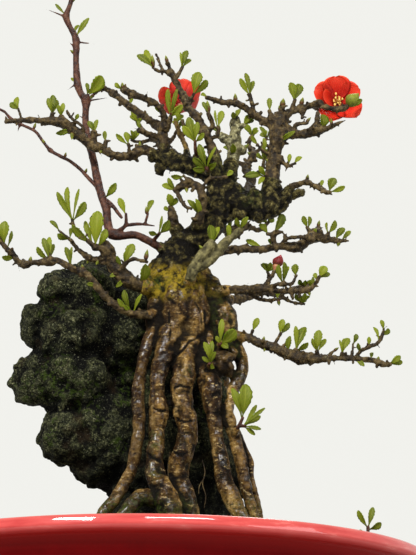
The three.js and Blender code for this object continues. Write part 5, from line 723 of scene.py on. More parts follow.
def path_frames(centres):
    """Directions along a path and two square to it, the first as near as can be to the axis that the path
    follows least."""
    along = unit(np.gradient(centres, axis=0))
    least = np.argmin(np.abs(along).max(axis=0))
    guide = np.eye(3)[least]
    side = unit(guide - (along @ guide)[:, None] * along)
    return along, side, np.cross(along, side)


def rod(centres, radii, sides, seed=0, gnarl=0.0, gnarl_size=3.0):
    """A round profile carried along a path, its radius times 1 + gnarl times noise, with domed ends."""
    centres = np.asarray(centres, float)
    along, side, front = path_frames(centres)
    turn = full_turn(sides)
    spokes = np.cos(turn)[:, None] * side[:, None] + np.sin(turn)[:, None] * front[:, None]
    radii = np.asarray(radii, float)[:, None, None]
    rings = centres[:, None] + radii * spokes
    if gnarl:
        bulge = 1 + gnarl * lattice_noise(rings, gnarl_size, seed)[..., None]
        rings = centres[:, None] + radii * bulge * spokes
    start = centres[0] - along[0] * radii[0, 0] * 0.5
    end = centres[-1] + along[-1] * radii[-1, 0] * 0.5
    return closed_rings(rings, start, end)


def ball(centre, radii, rings=8, sides=12, seed=0, rough=0.0, rough_size=6.0):
    """A ball with its own radius along X, Y and Z, times 1 + rough times noise."""
    radii = np.broadcast_to(np.asarray(radii, float), 3)
    polar = (np.arange(rings) + 0.5) * math.pi / rings
    turn = full_turn(sides)
    grid = np.stack([
        np.sin(polar)[:, None] * np.cos(turn),
        np.sin(polar)[:, None] * np.sin(turn),
        np.broadcast_to(-np.cos(polar)[:, None], (rings, sides)),
    ], -1) * radii
    if rough:
        grid = grid * (1 + rough * lattice_noise(grid + centre, rough_size, seed)[..., None])
    tip = np.array([0, 0, radii[2]])
    return closed_rings(grid + centre, np.asarray(centre) - tip, np.asarray(centre) + tip)


def turned(profile, sides, middle=(0, 0)):
    """Rings made by turning a profile of [radius, height] round an upright axis through middle."""
    profile, turn = np.asarray(profile, float), full_turn(sides)
    radius, height = profile[:, :1], np.broadcast_to(profile[:, 1:], (len(profile), sides))
    return np.stack([middle[0] + radius * np.cos(turn), middle[1] + radius * np.sin(turn), height], -1)


def ring_marks(along, over):
    """The two marks of each point of a surface: its place along the surface, and over it."""
    return np.stack(np.broadcast_arrays(along, over), -1)


def leaf_frame(base, tip, roll):
    """A leaf or bud's directions: along it, across it, and out of its face, with roll about its length."""
    along = unit(tip - base)
    across = unit(np.cross(along, [0, 1, 0.3]))
    face = np.cross(along, across)
    across = across * math.cos(roll) + face * math.sin(roll)
    return along, across, np.cross(along, across), np.linalg.norm(tip - base)


def leaf(base, tip, width, roll, draw):
    """A leaf as a flat ring carried along its length: half width w(s) = (sin(pi b^1.6))^0.6 for a blade
    from b = 0 to 1 after the stalk, so it is widest near its round tip, with teeth on the outer half of its
    edge, folded up along the rib, waved and arched."""
    along, across, face, length = leaf_frame(base, tip, roll)
    stations = 13
    s = np.linspace(0, 1, stations) ** 0.85
    blade = np.clip((s - 0.1) / 0.9, 0, 1)
    half = width / 2 * np.sin(np.pi * np.clip(blade, 0.02, 0.992) ** 1.6) ** 0.6
    tooth = 1 + 0.075 * np.where(np.arange(stations) % 2, 1, -1) * (blade > 0.4)
    edge = np.array([1, 0.55, 0, -0.55, -1, -0.55, 0, 0.55])
    skin = np.array([0, 0, 0, 0, 0, -1, -1, -1])
    rim = np.abs(edge) == 1
    reach = np.maximum(half[:, None], 0.32) * edge * np.where(rim, tooth[:, None], 1)
    wave = (draw.random() - 0.5) * 1.1
    arch = length * (0.02 + 0.13 * draw.random())
    phase = draw.random() * 6
    ripple = wave * np.sin(7 * s + phase)[:, None] * edge * half[:, None] * 0.6
    lift = np.abs(edge) ** 1.3 * half[:, None] * 0.42 + ripple + arch * np.sin(np.pi * s)[:, None]
    thickness = 0.3 + 0.35 * (1 - blade)[:, None]
    rings = (base + s[:, None, None] * length * along + reach[..., None] * across
             + (lift + skin * thickness)[..., None] * face)
    marks = ring_marks(s[:, None] * 0.9 + 0.05, 0.5 + 0.45 * edge)
    part = closed_rings(rings, rings[0].mean(axis=0), rings[-1].mean(axis=0), marks)
    part["tone"] = np.full(len(part["points"]), draw.random())
    return part


def bud(base, tip, width, rings=7, sides=8):
    """A bud: a round profile whose radius is sin(pi s^0.8) along its length s, times 1 + 0.14 cos(3 turn +
    4 s), or 0.04 on a ripe bud, for flutes like overlapping scales."""
    along, across, face, length = leaf_frame(base, tip, 0.4)
    s = (np.arange(rings) + 0.5) / rings
    turn = full_turn(sides) + s[:, None] * 1.5
    flute = 1 + (0.04 if width > RIPE_BUD else 0.14) * np.cos(3 * turn + 4 * s[:, None])
    radius = width / 2 * np.sin(np.pi * s ** 0.8)[:, None] * flute
    middle = base + s[:, None, None] * length * along
    spread = (radius * np.cos(turn))[..., None] * across + (radius * np.sin(turn))[..., None] * face
    ripe = 0.55 if width > RIPE_BUD else 0.0
    marks = ring_marks(ripe + (1 - ripe) * s[:, None], np.full(sides, 0.5))
    return closed_rings(middle + spread, base, tip, marks)


def thorn(base, tip):
    """A cone that narrows to a point."""
    path = base + np.linspace(0, 0.94, 5)[:, None] * (tip - base)
    return rod(path, [0.8, 0.62, 0.45, 0.28, 0.1], 6)


# Meshes

def added(name, data):
    """A new object in the scene that holds the data."""
    made = bpy.data.objects.new(name, data)
    bpy.context.collection.objects.link(made)
    return made


def mesh_from(name, part):
    """A Blender mesh of a part, in metres, with its marks as a UV map."""
    mesh = bpy.data.meshes.new(name)
    faces = part["quads"].tolist() + part["triangles"].tolist()
    mesh.from_pydata((part["points"] * MM).tolist(), [], faces)
    corner = np.empty(len(mesh.loops), np.int32)
    mesh.loops.foreach_get("vertex_index", corner)
    layer = mesh.uv_layers.new(name="marks")
    layer.data.foreach_set("uv", part["marks"][corner].ravel())
    if "tone" in part:
        set_mark(mesh, "tone", part["tone"])
    mesh.shade_smooth()
    return mesh


def set_mark(mesh, name, values):
    """A number for each point of a mesh, which its material reads by name."""
    mark = mesh.attributes.new(name, "FLOAT", "POINT")
    mark.data.foreach_set("value", np.ascontiguousarray(values, np.float32))


def points_of(mesh):
    """A mesh's points in millimetres, and its normals."""
    points = np.empty(len(mesh.vertices) * 3, np.float32)
    normals = np.empty(len(mesh.vertices) * 3, np.float32)
    mesh.vertices.foreach_get("co", points)
    mesh.vertex_normals.foreach_get("vector", normals)
    return points.reshape(-1, 3).astype(float) / MM, normals.reshape(-1, 3).astype(float)


def move_points(mesh, points):
    """The mesh's points put at new places, given in millimetres."""
    mesh.vertices.foreach_set("co", np.ascontiguousarray(points * MM, np.float32).ravel())
    mesh.update()
    mesh.shade_smooth()


def smoothed(mesh, points, passes):
    """A mesh's points after passes that each move a point halfway to the mean of its neighbours."""
    edges = np.empty(len(mesh.edges) * 2, np.int32)
    mesh.edges.foreach_get("vertices", edges)
    one, other = edges.reshape(-1, 2).T
    count = len(points)
    near = np.bincount(one, minlength=count) + np.bincount(other, minlength=count)
    for _ in range(passes):
        total = np.stack([
            np.bincount(one, points[other, k], count) + np.bincount(other, points[one, k], count)
            for k in range(3)
        ], -1)
        points = 0.5 * points + 0.5 * total / near[:, None]
    return points


def standing_out(mesh, passes):
    """How far each point stands out from the smoothed mesh along its normal, less the median and over half
    the span between the 8th and 92nd percentiles, so it is about 1 on ridges and -1 in creases."""
    points, normals = points_of(mesh)
    out = ((points - smoothed(mesh, points, passes)) * normals).sum(axis=1)
    low, middle, high = np.percentile(out, [8, 50, 92])
    return np.clip(2 * (out - middle) / (high - low), -1.5, 1.5)


def finished_mesh(name, made):
    """The mesh that an object's modifiers give. The object is removed."""
    graph = bpy.context.evaluated_depsgraph_get()
    mesh = bpy.data.meshes.new_from_object(made.evaluated_get(graph), depsgraph=graph)
    bpy.data.objects.remove(made)
    mesh.name = name
    return mesh


def fused(name, parts, spacing):
    """One skin round several parts that run into each other, with points about every spacing millimetres."""
    rough = added(name, mesh_from(name, joined(parts)))
    skin = rough.modifiers.new("skin", "REMESH")
    skin.mode = "VOXEL"
    skin.voxel_size = spacing * QUICK_FACTOR * MM
    mesh = finished_mesh(name, rough)
    move_points(mesh, smoothed(mesh, points_of(mesh)[0], 1))
    return mesh


def piece(name, mesh, material, nodes=()):
    """A finished piece: an object at the origin that rides on the root and stands for the given nodes."""
    made = added(name, mesh)
    mesh.materials.clear()
    mesh.materials.append(material)
    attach(made, "root")
    if nodes:
        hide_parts(*nodes)


def loose_piece(name, parts, material, nodes=()):
    """A finished piece made of parts that are not fused."""
    piece(name, mesh_from(name, joined(parts)), material, nodes)


def fine_piece(node, parts, material):
    """A finished piece made of parts, which stands for one node and is named after it."""
    loose_piece(f"{node}_fine", parts, material, [node])


# Materials

class Finish:
    """A material with a Principled shader, and short ways to add the nodes that feed it."""

    def __init__(self, name, **constants):
        self.material = bpy.data.materials.new(name)
        self.material.use_nodes = True
        self.tree = self.material.node_tree
        self.shader = self.tree.nodes["Principled BSDF"]
        self.place = self.node("ShaderNodeTexCoord").outputs["Object"]
        for key, value in constants.items():
            self.shader.inputs[key.replace("_", " ")].default_value = value

    def node(self, kind, sockets=None, **settings):
        """A new node with its settings, and its sockets given their sources."""
        made = self.tree.nodes.new(kind)
        for key, value in settings.items():
            setattr(made, key, value)
        for key, source in (sockets or {}).items():
            self.link(source, made.inputs[key])
        return made

    def link(self, source, socket):
        """A number or colour written on a socket, or another node's output joined to it."""
        if isinstance(source, (int, float, tuple)):
            socket.default_value = source
        else:
            self.tree.links.new(source, socket)

    def feed(self, source, name):
        """A source given to the shader's own socket of that name."""
        self.link(source, self.shader.inputs[name])

    def mark(self, name):
        """The number that set_mark wrote on the points."""
        return self.node("ShaderNodeAttribute", attribute_name=name).outputs["Fac"]

    def split(self, vector):
        """The X, Y and Z outputs of a vector."""
        return self.node("ShaderNodeSeparateXYZ", {"Vector": vector}).outputs

    def own_marks(self):
        """The piece's two marks: the place along its surface, and over it."""
        outputs = self.split(self.node("ShaderNodeUVMap", uv_map="marks").outputs["UV"])
        return outputs["X"], outputs["Y"]

    def stretched(self, x, y, z):
        """The place on the object, scaled along X, Y and Z."""
        return self.node("ShaderNodeMapping", {"Vector": self.place, "Scale": (x, y, z)}).outputs["Vector"]

    def noise(self, size, detail=3, roughness=0.55, where=None):
        """Noise from 0 to 1 whose patches are about size millimetres across."""
        return self.node("ShaderNodeTexNoise", {
            "Vector": where or self.place, "Scale": 1 / (size * MM), "Detail": detail, "Roughness": roughness,
        }).outputs["Fac"]

    def cells(self, size):
        """Distance to the middles of cells about size millimetres across."""
        return self.node("ShaderNodeTexVoronoi", {
            "Vector": self.place, "Scale": 1 / (size * MM),
        }).outputs["Distance"]

    def ramp(self, factor, *stops):
        """Colours at places from 0 to 1, blended between them."""
        made = self.node("ShaderNodeValToRGB", {"Fac": factor})
        elements = made.color_ramp.elements
        while len(elements) < len(stops):
            elements.new(0.5)
        for element, (position, colour) in zip(elements, stops):
            element.position = position
            element.color = (*linear(colour, PIGMENT), 1)
        return made.outputs["Color"]

    def span(self, value, low, high, to_low=0.0, to_high=1.0):
        """A value from low to high mapped onto a new range, and held at its ends."""
        return self.node("ShaderNodeMapRange", {
            "Value": value, "From Min": low, "From Max": high, "To Min": to_low, "To Max": to_high,
        }).outputs["Result"]

    def math(self, operation, one, other=0.0):
        """One of the Math node's operations."""
        return self.node("ShaderNodeMath", {0: one, 1: other}, operation=operation).outputs[0]

    def blend(self, factor, one, other):
        """One colour where the factor is 0 and the other where it is 1."""
        one, other = [(*linear(tone, PIGMENT), 1) if isinstance(tone, str) else tone for tone in (one, other)]
        sockets = {"Factor": factor, 6: one, 7: other}
        return self.node("ShaderNodeMix", sockets, data_type="RGBA").outputs[2]

    def bump(self, height, depth, strength=0.7):
        """A bump of depth millimetres, over any bump set before."""
        made = self.node("ShaderNodeBump", {"Height": height, "Strength": strength, "Distance": depth * MM})
        before = self.shader.inputs["Normal"]
        if before.is_linked:
            self.link(before.links[0].from_socket, made.inputs["Normal"])
        self.link(made.outputs["Normal"], before)


def linear(colour, shade=1.0):
    """A colour written as six hexadecimal digits, in the linear values that shaders use, times shade."""
    parts = [int(colour[k:k + 2], 16) / 255 for k in (0, 2, 4)]
    return [shade * (value / 12.92 if value < 0.04045 else ((value + 0.055) / 1.055) ** 2.4)
            for value in parts]


def bark(name, crease, body, light, lichen="7A7654", lichen_cover=0.62, gloss=0.6):
    """Twig bark: body colour broken by noise, dark in the creases as painted shade, pale on the ridges as
    painted light, with lichen flecks.
    """
    made = Finish(name, Specular_IOR_Level=0.12)
    patches = made.noise(3.2, 5, 0.65)
    colour = made.ramp(patches, (0.32, crease), (0.5, body), (0.7, light))
    relief = made.mark("relief")
    # Painted shade in the hollows of the relief, and painted light on its ridges.
    colour = made.blend(made.span(relief, 0.0, -0.7), colour, crease)
    colour = made.blend(made.span(relief, 0.3, 0.9, 0, 0.6), colour, light)
    flecks = made.span(made.noise(1.9, 5, 0.7), lichen_cover, lichen_cover + 0.08, 0, 0.65)
    colour = made.blend(flecks, colour, lichen)
    made.feed(colour, "Base Color")
    made.feed(made.span(patches, 0.3, 0.7, gloss - 0.14, gloss + 0.12), "Roughness")
    made.bump(made.noise(0.9, 4, 0.65), 0.5)
    made.bump(made.noise(1.4, 3, 0.6, made.stretched(1, 1, 2.6)), 0.35)
    return made.material


def old_wood():
    """The trunk and bare roots. The mark "bare" is 1 on the exposed roots, which are brown and wet with
    ochre ridges and cross cracks, and 0 on the dark, lichen-flecked trunk above them. The ridges are made
    paler as painted light, and the creases between the roots, the cracks and the knot hole near black as
    painted shade. A patch at the foot is darker."""
    made = Finish("old_wood", Coat_Roughness=0.3, Specular_IOR_Level=0.08)
    bare = made.mark("bare")
    relief = made.mark("relief")
    dark = made.ramp(made.noise(2.4, 6, 0.75), (0.36, "080704"), (0.46, "231E0E"), (0.56, "4A4220"),
                     (0.7, "948858"))
    lichen = made.span(made.noise(1.3, 5, 0.7), 0.6, 0.68, 0, 0.6)
    dark = made.blend(lichen, dark, "8C8860")
    patches = made.noise(8, 5, 0.65, made.stretched(1, 1, 0.4))
    root = made.ramp(patches, (0.35, "140B03"), (0.45, "3A240B"), (0.54, "664A1E"), (0.63, "96763E"),
                     (0.74, "D0B07A"))
    cross = made.noise(2.2, 6, 0.75, made.stretched(0.8, 0.8, 1.7))
    # The cross grain: pale flecks on its raised parts, partly paler bark and partly painted glints, and dark
    # lines in its hollows, partly real cracks and partly painted shade.
    root = made.blend(made.span(cross, 0.56, 0.64, 0, 0.75), root, "D0B47A")
    root = made.blend(made.span(cross, 0.48, 0.39, 0, 0.92), root, "120A03")
    # Painted light: the ridges of the roots paler.
    root = made.blend(made.span(relief, 0.5, 1.3, 0, 0.45), root, "A88246")
    # Painted shade in the hollow of the root crown, from the mark "shade", which also darkens the left root
    # and lays random darker patches.
    root = made.blend(made.mark("shade"), root, "24150A")
    colour = made.blend(bare, dark, root)
    # Painted shade: near black in the creases between the roots and in the knot hole, and in the cracks,
    # which are partly dark of their own.
    colour = made.blend(made.span(relief, 0.1, -0.8, 0, 0.97), colour, "080502")
    gold = made.math("MULTIPLY", made.mark("crown"), made.span(made.noise(3.5, 5, 0.7), 0.42, 0.58, 0, 0.8))
    colour = made.blend(gold, colour, "98801E")
    colour = made.blend(made.mark("burr"), colour, "1A120A")
    # Darker in a patch at the foot of the roots.
    colour = made.blend(made.mark("darker_low"), colour, "100A05")
    moss = made.math("MULTIPLY", made.mark("moss"), made.span(made.noise(2.4, 6, 0.75), 0.46, 0.58))
    colour = made.blend(moss, colour, "3E4A14")
    made.feed(colour, "Base Color")
    wet = made.math("MULTIPLY", bare, made.span(made.noise(2.2, 5, 0.7), 0.46, 0.6, 0.0, 0.6))
    made.feed(made.math("MULTIPLY", wet, made.span(relief, -0.4, 0.1)), "Coat Weight")
    made.feed(made.span(made.noise(2.5, 4), 0.3, 0.7, 0.35, 0.75), "Roughness")
    made.bump(cross, 1.8, 1.0)
    made.bump(made.noise(0.9, 5, 0.65), 0.6, 0.9)
    return made.material


def leaf_finish(name, base, light, edge):
    """A leaf: lighter along its rib and side veins, its own tone, and a little light passing through it."""
    made = Finish(name, Roughness=0.48, Specular_IOR_Level=0.09, Subsurface_Weight=0.12,
                  Subsurface_Scale=0.0012, Subsurface_Radius=(0.5, 1.0, 0.2))
    along, over = made.own_marks()
    away = made.math("ABSOLUTE", made.math("SUBTRACT", over, 0.5))
    colour = made.blend(made.span(made.mark("tone"), 0, 1), base, light)
    colour = made.blend(made.span(away, 0.36, 0.5, 0, 0.45), colour, edge)
    rib = made.span(away, 0.06, 0.01, 0, 0.55)
    slant = made.math("SUBTRACT", made.math("MULTIPLY", along, 44.0), made.math("MULTIPLY", away, 34.0))
    veins = made.span(made.math("SINE", slant), 0.82, 1.0, 0, 0.3)
    lines = made.math("MAXIMUM", rib, veins)
    colour = made.blend(lines, colour, "787B2A")
    colour = made.blend(made.span(made.noise(2.5, 3), 0.35, 0.7, 0, 0.35), colour, light)
    made.feed(colour, "Base Color")
    made.bump(lines, 0.12, 0.5)
    return made.material


def bud_finish():
    """Buds: green at the tip, reddish brown scales round the base."""
    made = Finish("bud_scales", Roughness=0.5, Specular_IOR_Level=0.1)
    along, _ = made.own_marks()
    blur = made.math("ADD", along, made.span(made.noise(1.5), 0.3, 0.7, -0.2, 0.2))
    made.feed(made.ramp(blur, (0.1, "2A140C"), (0.34, "4A2C16"), (0.55, "4C5014"), (0.95, "6E7222")),
              "Base Color")
    made.bump(made.noise(0.7, 3), 0.15)
    return made.material


def petal_finish(name, *tones):
    """Petals: four tones from the heart to the rim, deeper along fine veins."""
    made = Finish(name, Roughness=0.5, Specular_IOR_Level=0.15, Subsurface_Weight=0.2,
                  Subsurface_Scale=0.0012, Subsurface_Radius=(1.0, 0.3, 0.15))
    along, over = made.own_marks()
    colour = made.ramp(along, *zip((0.05, 0.35, 0.7, 0.98), tones))
    veins = made.math("SINE", made.math("MULTIPLY", over, 90.0))
    colour = made.blend(made.span(veins, 0.4, 1.0, 0, 0.16), colour, tones[1])
    colour = made.blend(made.span(made.noise(3.5, 4), 0.4, 0.7, 0, 0.4), colour, tones[3])
    made.feed(colour, "Base Color")
    made.bump(veins, 0.06, 0.4)
    return made.material


def plain_finish(name, dark, light, size, rough, depth, **constants):
    """Two tones broken by noise, with a bump of the same grain."""
    made = Finish(name, Roughness=rough, **constants)
    grain = made.noise(size, 5, 0.65)
    made.feed(made.ramp(grain, (0.3, dark), (0.7, light)), "Base Color")
    made.bump(grain, depth)
    return made.material


def rock_finish():
    """Lava rock: olive grey grains with pale and rusty specks, near black in its creases as painted shade,
    lighter on its ridges as painted light, darker towards the bottom as painted shade, and mossy where the
    mark "moss" is high."""
    made = Finish("lava_rock", Roughness=0.9, Specular_IOR_Level=0.08)
    relief = made.mark("relief")
    grains = made.noise(1.5, 6, 0.8)
    colour = made.ramp(grains, (0.4, "030302"), (0.48, "16180C"), (0.56, "42442A"), (0.66, "908E68"))
    colour = made.blend(made.span(made.noise(7, 5, 0.7), 0.36, 0.6, 0.6, 0), colour, "14170F")
    # Painted shade: near black in the rock's creases.
    colour = made.blend(made.span(relief, 0.3, -0.55, 0, 0.97), colour, "020201")
    colour = made.blend(made.span(made.noise(0.9, 3, 0.7), 0.62, 0.7, 0, 0.45), colour, "ACAC8C")
    # Painted light: paler on the rock's ridges.
    colour = made.blend(made.span(relief, 0.5, 1.4, 0, 0.12), colour, "6E6E52")
    rust = made.span(made.noise(13, 4, 0.6), 0.58, 0.7, 0, 0.35)
    colour = made.blend(rust, colour, "3A2C1A")
    moss = made.math("MULTIPLY", made.mark("moss"), made.span(made.noise(2.6, 6, 0.75), 0.5, 0.6, 0, 0.9))
    colour = made.blend(moss, colour, "33420E")
    # Painted shade: darker towards the bottom of the rock.
    colour = made.blend(made.mark("darker_low"), colour, "080805")
    made.feed(colour, "Base Color")
    made.bump(made.noise(1.9, 6, 0.8), 1.6, 1.0)
    made.bump(made.cells(1.3), 0.7, 0.9)
    return made.material


def glaze_finish():
    """Red glaze: glossy and pinker on the lip, with pale streaks round it and a lighter top edge as painted
    highlight, deep and duller on the wall below it, its darker red partly painted shade under the lip, with a
    faint mottle.
    """
    made = Finish("glaze", Roughness=0.35, Coat_Roughness=0.05, Specular_IOR_Level=0.03)
    height = made.split(made.place)["Z"]
    streaks = made.noise(18, 5, 0.65, made.stretched(1, 1, 7))
    # Pale streaks round the lip: painted highlight.
    lip = made.ramp(streaks, (0.34, "A22A28"), (0.58, "B03C38"), (0.76, "C4726A"))
    # Painted shade: the wall's deep red, darker than the lip, is partly the shade under the lip.
    wall = made.ramp(made.noise(20, 4, 0.6), (0.3, "400001"), (0.7, "4E0102"))
    lip_base = POT_HEIGHT - LIP_HEIGHT
    under = made.span(height, (lip_base - 6) * MM, (lip_base + 1) * MM)
    up = made.span(height, lip_base * MM, (lip_base + 4) * MM)
    colour = made.blend(up, made.blend(under, wall, "6E0E0C"), lip)
    # Painted highlight: the top edge of the rim lighter.
    rim_highlight = made.span(height, (POT_HEIGHT - 1.6) * MM, POT_HEIGHT * MM, 0, 0.6)
    colour = made.blend(rim_highlight, colour, "AA5248")
    made.feed(colour, "Base Color")
    made.feed(made.span(height, (lip_base + 1) * MM, (lip_base + 3.4) * MM), "Coat Weight")
    made.bump(made.noise(22, 3, 0.5), 0.35, 0.35)
    made.bump(made.noise(1.2, 2), 0.03, 0.3)
    return made.material


def soil_finish():
    """Damp soil: brown crumbs between near black and tan, mossy in patches."""
    made = Finish("soil", Roughness=0.95)
    colour = made.ramp(made.noise(2.8, 6, 0.7), (0.3, "14100B"), (0.5, "33271B"), (0.7, "5E4A33"))
    moss = made.span(made.noise(28, 4, 0.6), 0.5, 0.6, 0, 0.85)
    colour = made.blend(moss, colour, made.ramp(made.noise(1.6, 4), (0.3, "2F3B12"), (0.7, "66772B")))
    made.feed(colour, "Base Color")
    made.bump(made.noise(1.5, 6, 0.7), 0.9, 0.9)
    return made.material


# The tree's wood

def nearest_wood(lines, across, up):
    """The nearest point of the wood, as seen from the front, as [across, up, depth, radius]."""
    best, found = 1e9, None
    for rows in lines:
        rows = np.asarray(rows, float)
        first, step = rows[:-1], np.diff(rows, axis=0)
        span = (step[:, :2] ** 2).sum(axis=1) + 1e-9
        inset = np.minimum(ROOTING_DEPTH / np.sqrt(span), 0.5)
        low, high = np.zeros(len(span)), np.ones(len(span))
        low[0], high[-1] = inset[0], 1 - inset[-1]
        t = np.clip(((np.array([across, up]) - first[:, :2]) * step[:, :2]).sum(axis=1) / span, low, high)
        points = first + step * t[:, None]
        distance = np.hypot(points[:, 0] - across, points[:, 1] - up)
        if distance.min() < best:
            best, found = distance.min(), points[distance.argmin()]
    return found


def wood_lines(plan):
    """All the wood of a stem: the stem, then its twigs, each starting on the wood that carries it."""
    lines = [plan["stem"]]
    for twig in plan.get("twigs", ()):
        start = nearest_wood(lines, twig[0][0], twig[0][1])
        rows = [[*start[:3], twig[0][3]]]
        rows += [[across, up, start[2] + lean, radius] for across, up, lean, radius in twig[1:]]
        lines.append(rows)
    return lines


def swollen(rows, knobs):
    """Rows whose radius rises at each knob to the knob's radius times sqrt(1 - d^2), where d is the distance
    from its middle over 1.25 times that radius."""
    rows = rows.copy()
    for across, up, radius in knobs:
        away = np.hypot(rows[:, 0] - across, rows[:, 1] - up) / (1.25 * radius)
        rows[:, 3] = np.maximum(rows[:, 3], radius * np.sqrt(np.clip(1 - away ** 2, 0, 1)))
    return rows


def wood_rod(rows, sides, seed, gnarl, knobs=(), step=1.6):
    """A limb through rows of [across, up, depth, radius], gnarled by noise."""
    fine = swollen(smooth_rows(rows, step), knobs)
    return rod(place(fine[:, :3]), fine[:, 3], sides, seed, gnarl, 3.4)


def spurs(rows, seed, spacing=4.2, size=1.35):
    """Short stubs and old bud scars along a limb, turned round it by about the golden angle."""
    draw = np.random.default_rng(seed)
    fine = smooth_rows(rows, 1.0)
    centres = place(fine[:, :3])
    along, side, front = path_frames(centres)
    made = []
    travelled = np.concatenate([[0], np.cumsum(np.linalg.norm(np.diff(centres, axis=0), axis=1))])
    for k, distance in enumerate(np.arange(spacing, travelled[-1] - 1, spacing)):
        i = int(np.searchsorted(travelled, distance + draw.uniform(-1.2, 1.2)))
        i = min(max(i, 1), len(fine) - 1)
        turn = k * SPIRAL + draw.uniform(-0.5, 0.5)
        out = math.cos(turn) * side[i] + math.sin(turn) * front[i]
        radius = fine[i, 3]
        reach = radius + size * draw.uniform(0.5, 1.7)
        start = centres[i] + out * radius * 0.4
        end = centres[i] + out * reach + along[i] * draw.uniform(0.2, 0.9)
        bead = min(0.55 * radius, 0.95) * draw.uniform(0.8, 1.1)
        made.append(rod(np.linspace(start, end, 4), [bead, bead, bead * 1.05, bead * 0.7], 6))
    return made


def stem_wood(name, plan, seed):
    """A stem and its twigs, thorns and spurs under one skin, pushed along its normals by layered noise."""
    lines = wood_lines(plan)
    parts = []
    kind = plan.get("bark", "twig")
    gnarl = 0.1 if kind in ("whip", "ochre", "leaf") else 0.26
    for k, rows in enumerate(lines):
        sides = 12 if max(row[3] for row in rows) > 1.5 else 8
        parts.append(wood_rod(rows, sides, seed + k, gnarl, plan.get("knobs", ())))
        if kind == "twig" and not name.startswith("tuft"):
            parts += spurs(rows, seed + 40 + k)
    for base_across, base_up, across, up, lean in plan.get("thorns", ()):
        base = nearest_wood(lines, base_across, base_up)
        parts.append(thorn(place(base[:3]), place([across, up, base[2] + lean])))
    mesh = fused(f"{name}_wood", parts, STEM_SKIN)
    points, normals = points_of(mesh)
    depth = 0.1 if kind in ("whip", "leaf") else 0.4
    height = layered_noise(points, 1.6, 4, seed) * 0.75
    move_points(mesh, points + normals * (height * depth)[:, None])
    set_mark(mesh, "relief", height)
    return mesh, lines


def stem_leaves(plan, lines, seed):
    """The leaves and the buds of a stem, as two lists of parts."""
    draw = np.random.default_rng(seed)
    leaves, buds = [], []
    for base_across, base_up, across, up, width, lean in plan.get("leaves", ()):
        base = nearest_wood(lines, base_across, base_up)
        roll = (draw.random() - 0.5) * 1.1
        tip = place([across, up, base[2] + lean])
        leaves.append(leaf(place(base[:3]), tip, width * 0.96 / math.cos(roll), roll, draw))
    for base_across, base_up, across, up, width, lean in plan.get("buds", ()):
        base = nearest_wood(lines, base_across, base_up)
        faces = (12, 16) if width > RIPE_BUD else (7, 8)
        buds.append(bud(place(base[:3]), place([across, up, base[2] + lean]), width, *faces))
    for across, up, count, length in plan.get("tufts", ()):
        foot = place(nearest_wood(lines, across, up)[:3])
        for k in range(count):
            turn = (k / count + draw.random() * 0.12) * 2 * math.pi
            reach = length * draw.uniform(0.75, 1.15)
            aim = np.array([math.cos(turn) * 0.55, math.sin(turn) * 0.55, draw.uniform(0.5, 0.85)])
            leaves.append(leaf(foot, foot + aim * reach, length * 0.38, draw.uniform(-0.6, 0.6), draw))
    return leaves, buds


def seen_at(points):
    """Where each point appears on the aim plane, as its across and its up."""
    sight = points - EYE
    rise_over_run = sight[:, 2] / sight[:, 1]
    up = AIM_UP + VIEW_DISTANCE * np.tan(np.arctan(rise_over_run) - VIEW_TILT)
    away = sight[:, 1] * math.cos(VIEW_TILT) + sight[:, 2] * math.sin(VIEW_TILT)
    return AIM_ACROSS + VIEW_DISTANCE * sight[:, 0] / away, up


def near_line(across, up, rows):
    """Distance on the aim plane from each point to a line through rows of [across, up]."""
    best = np.full(len(across), 1e9)
    rows = np.asarray(rows, float)
    for start, end in zip(rows[:-1], rows[1:]):
        step = end - start
        t = np.clip(((across - start[0]) * step[0] + (up - start[1]) * step[1]) / (step ** 2).sum(), 0, 1)
        best = np.minimum(best, np.hypot(across - start[0] - t * step[0], up - start[1] - t * step[1]))
    return best


def patch(across, up, spot):
    """1 in the middle of a patch of the wood and 0 outside it: exp(-x^4 - y^4), where x and y are the
    distances from its middle over its half width and half height."""
    return np.exp(-((across - spot[0]) / spot[2]) ** 4 - ((up - spot[1]) / spot[3]) ** 4)


def trunk_skin():
    """Roots, trunk, limbs, burrs, spurs and the collars where branches grow out, under one skin."""
    parts = [wood_rod(rows, 18, 300 + k, 0.16, step=2.4) for k, rows in enumerate(TRUNK)]
    for k, (across, up, depth, radius) in enumerate(BURRS):
        parts.append(ball(place([across, up, depth]), radius * 0.92, 14, 18, 500 + k, 0.34, 2.8))
    for plan in STEMS.values():
        if plan["on"] == "trunk":
            root, joint = np.asarray(plan["stem"][:2], float)
            parts.append(rod(place([root[:3], joint[:3]]), [root[3] + 1, joint[3] + 0.5], 10))
    for rows in SPURRED:
        parts += spurs(rows, 640 + len(rows), spacing=7, size=1.6)
    return fused("trunk_and_roots", parts, TRUNK_SKIN)


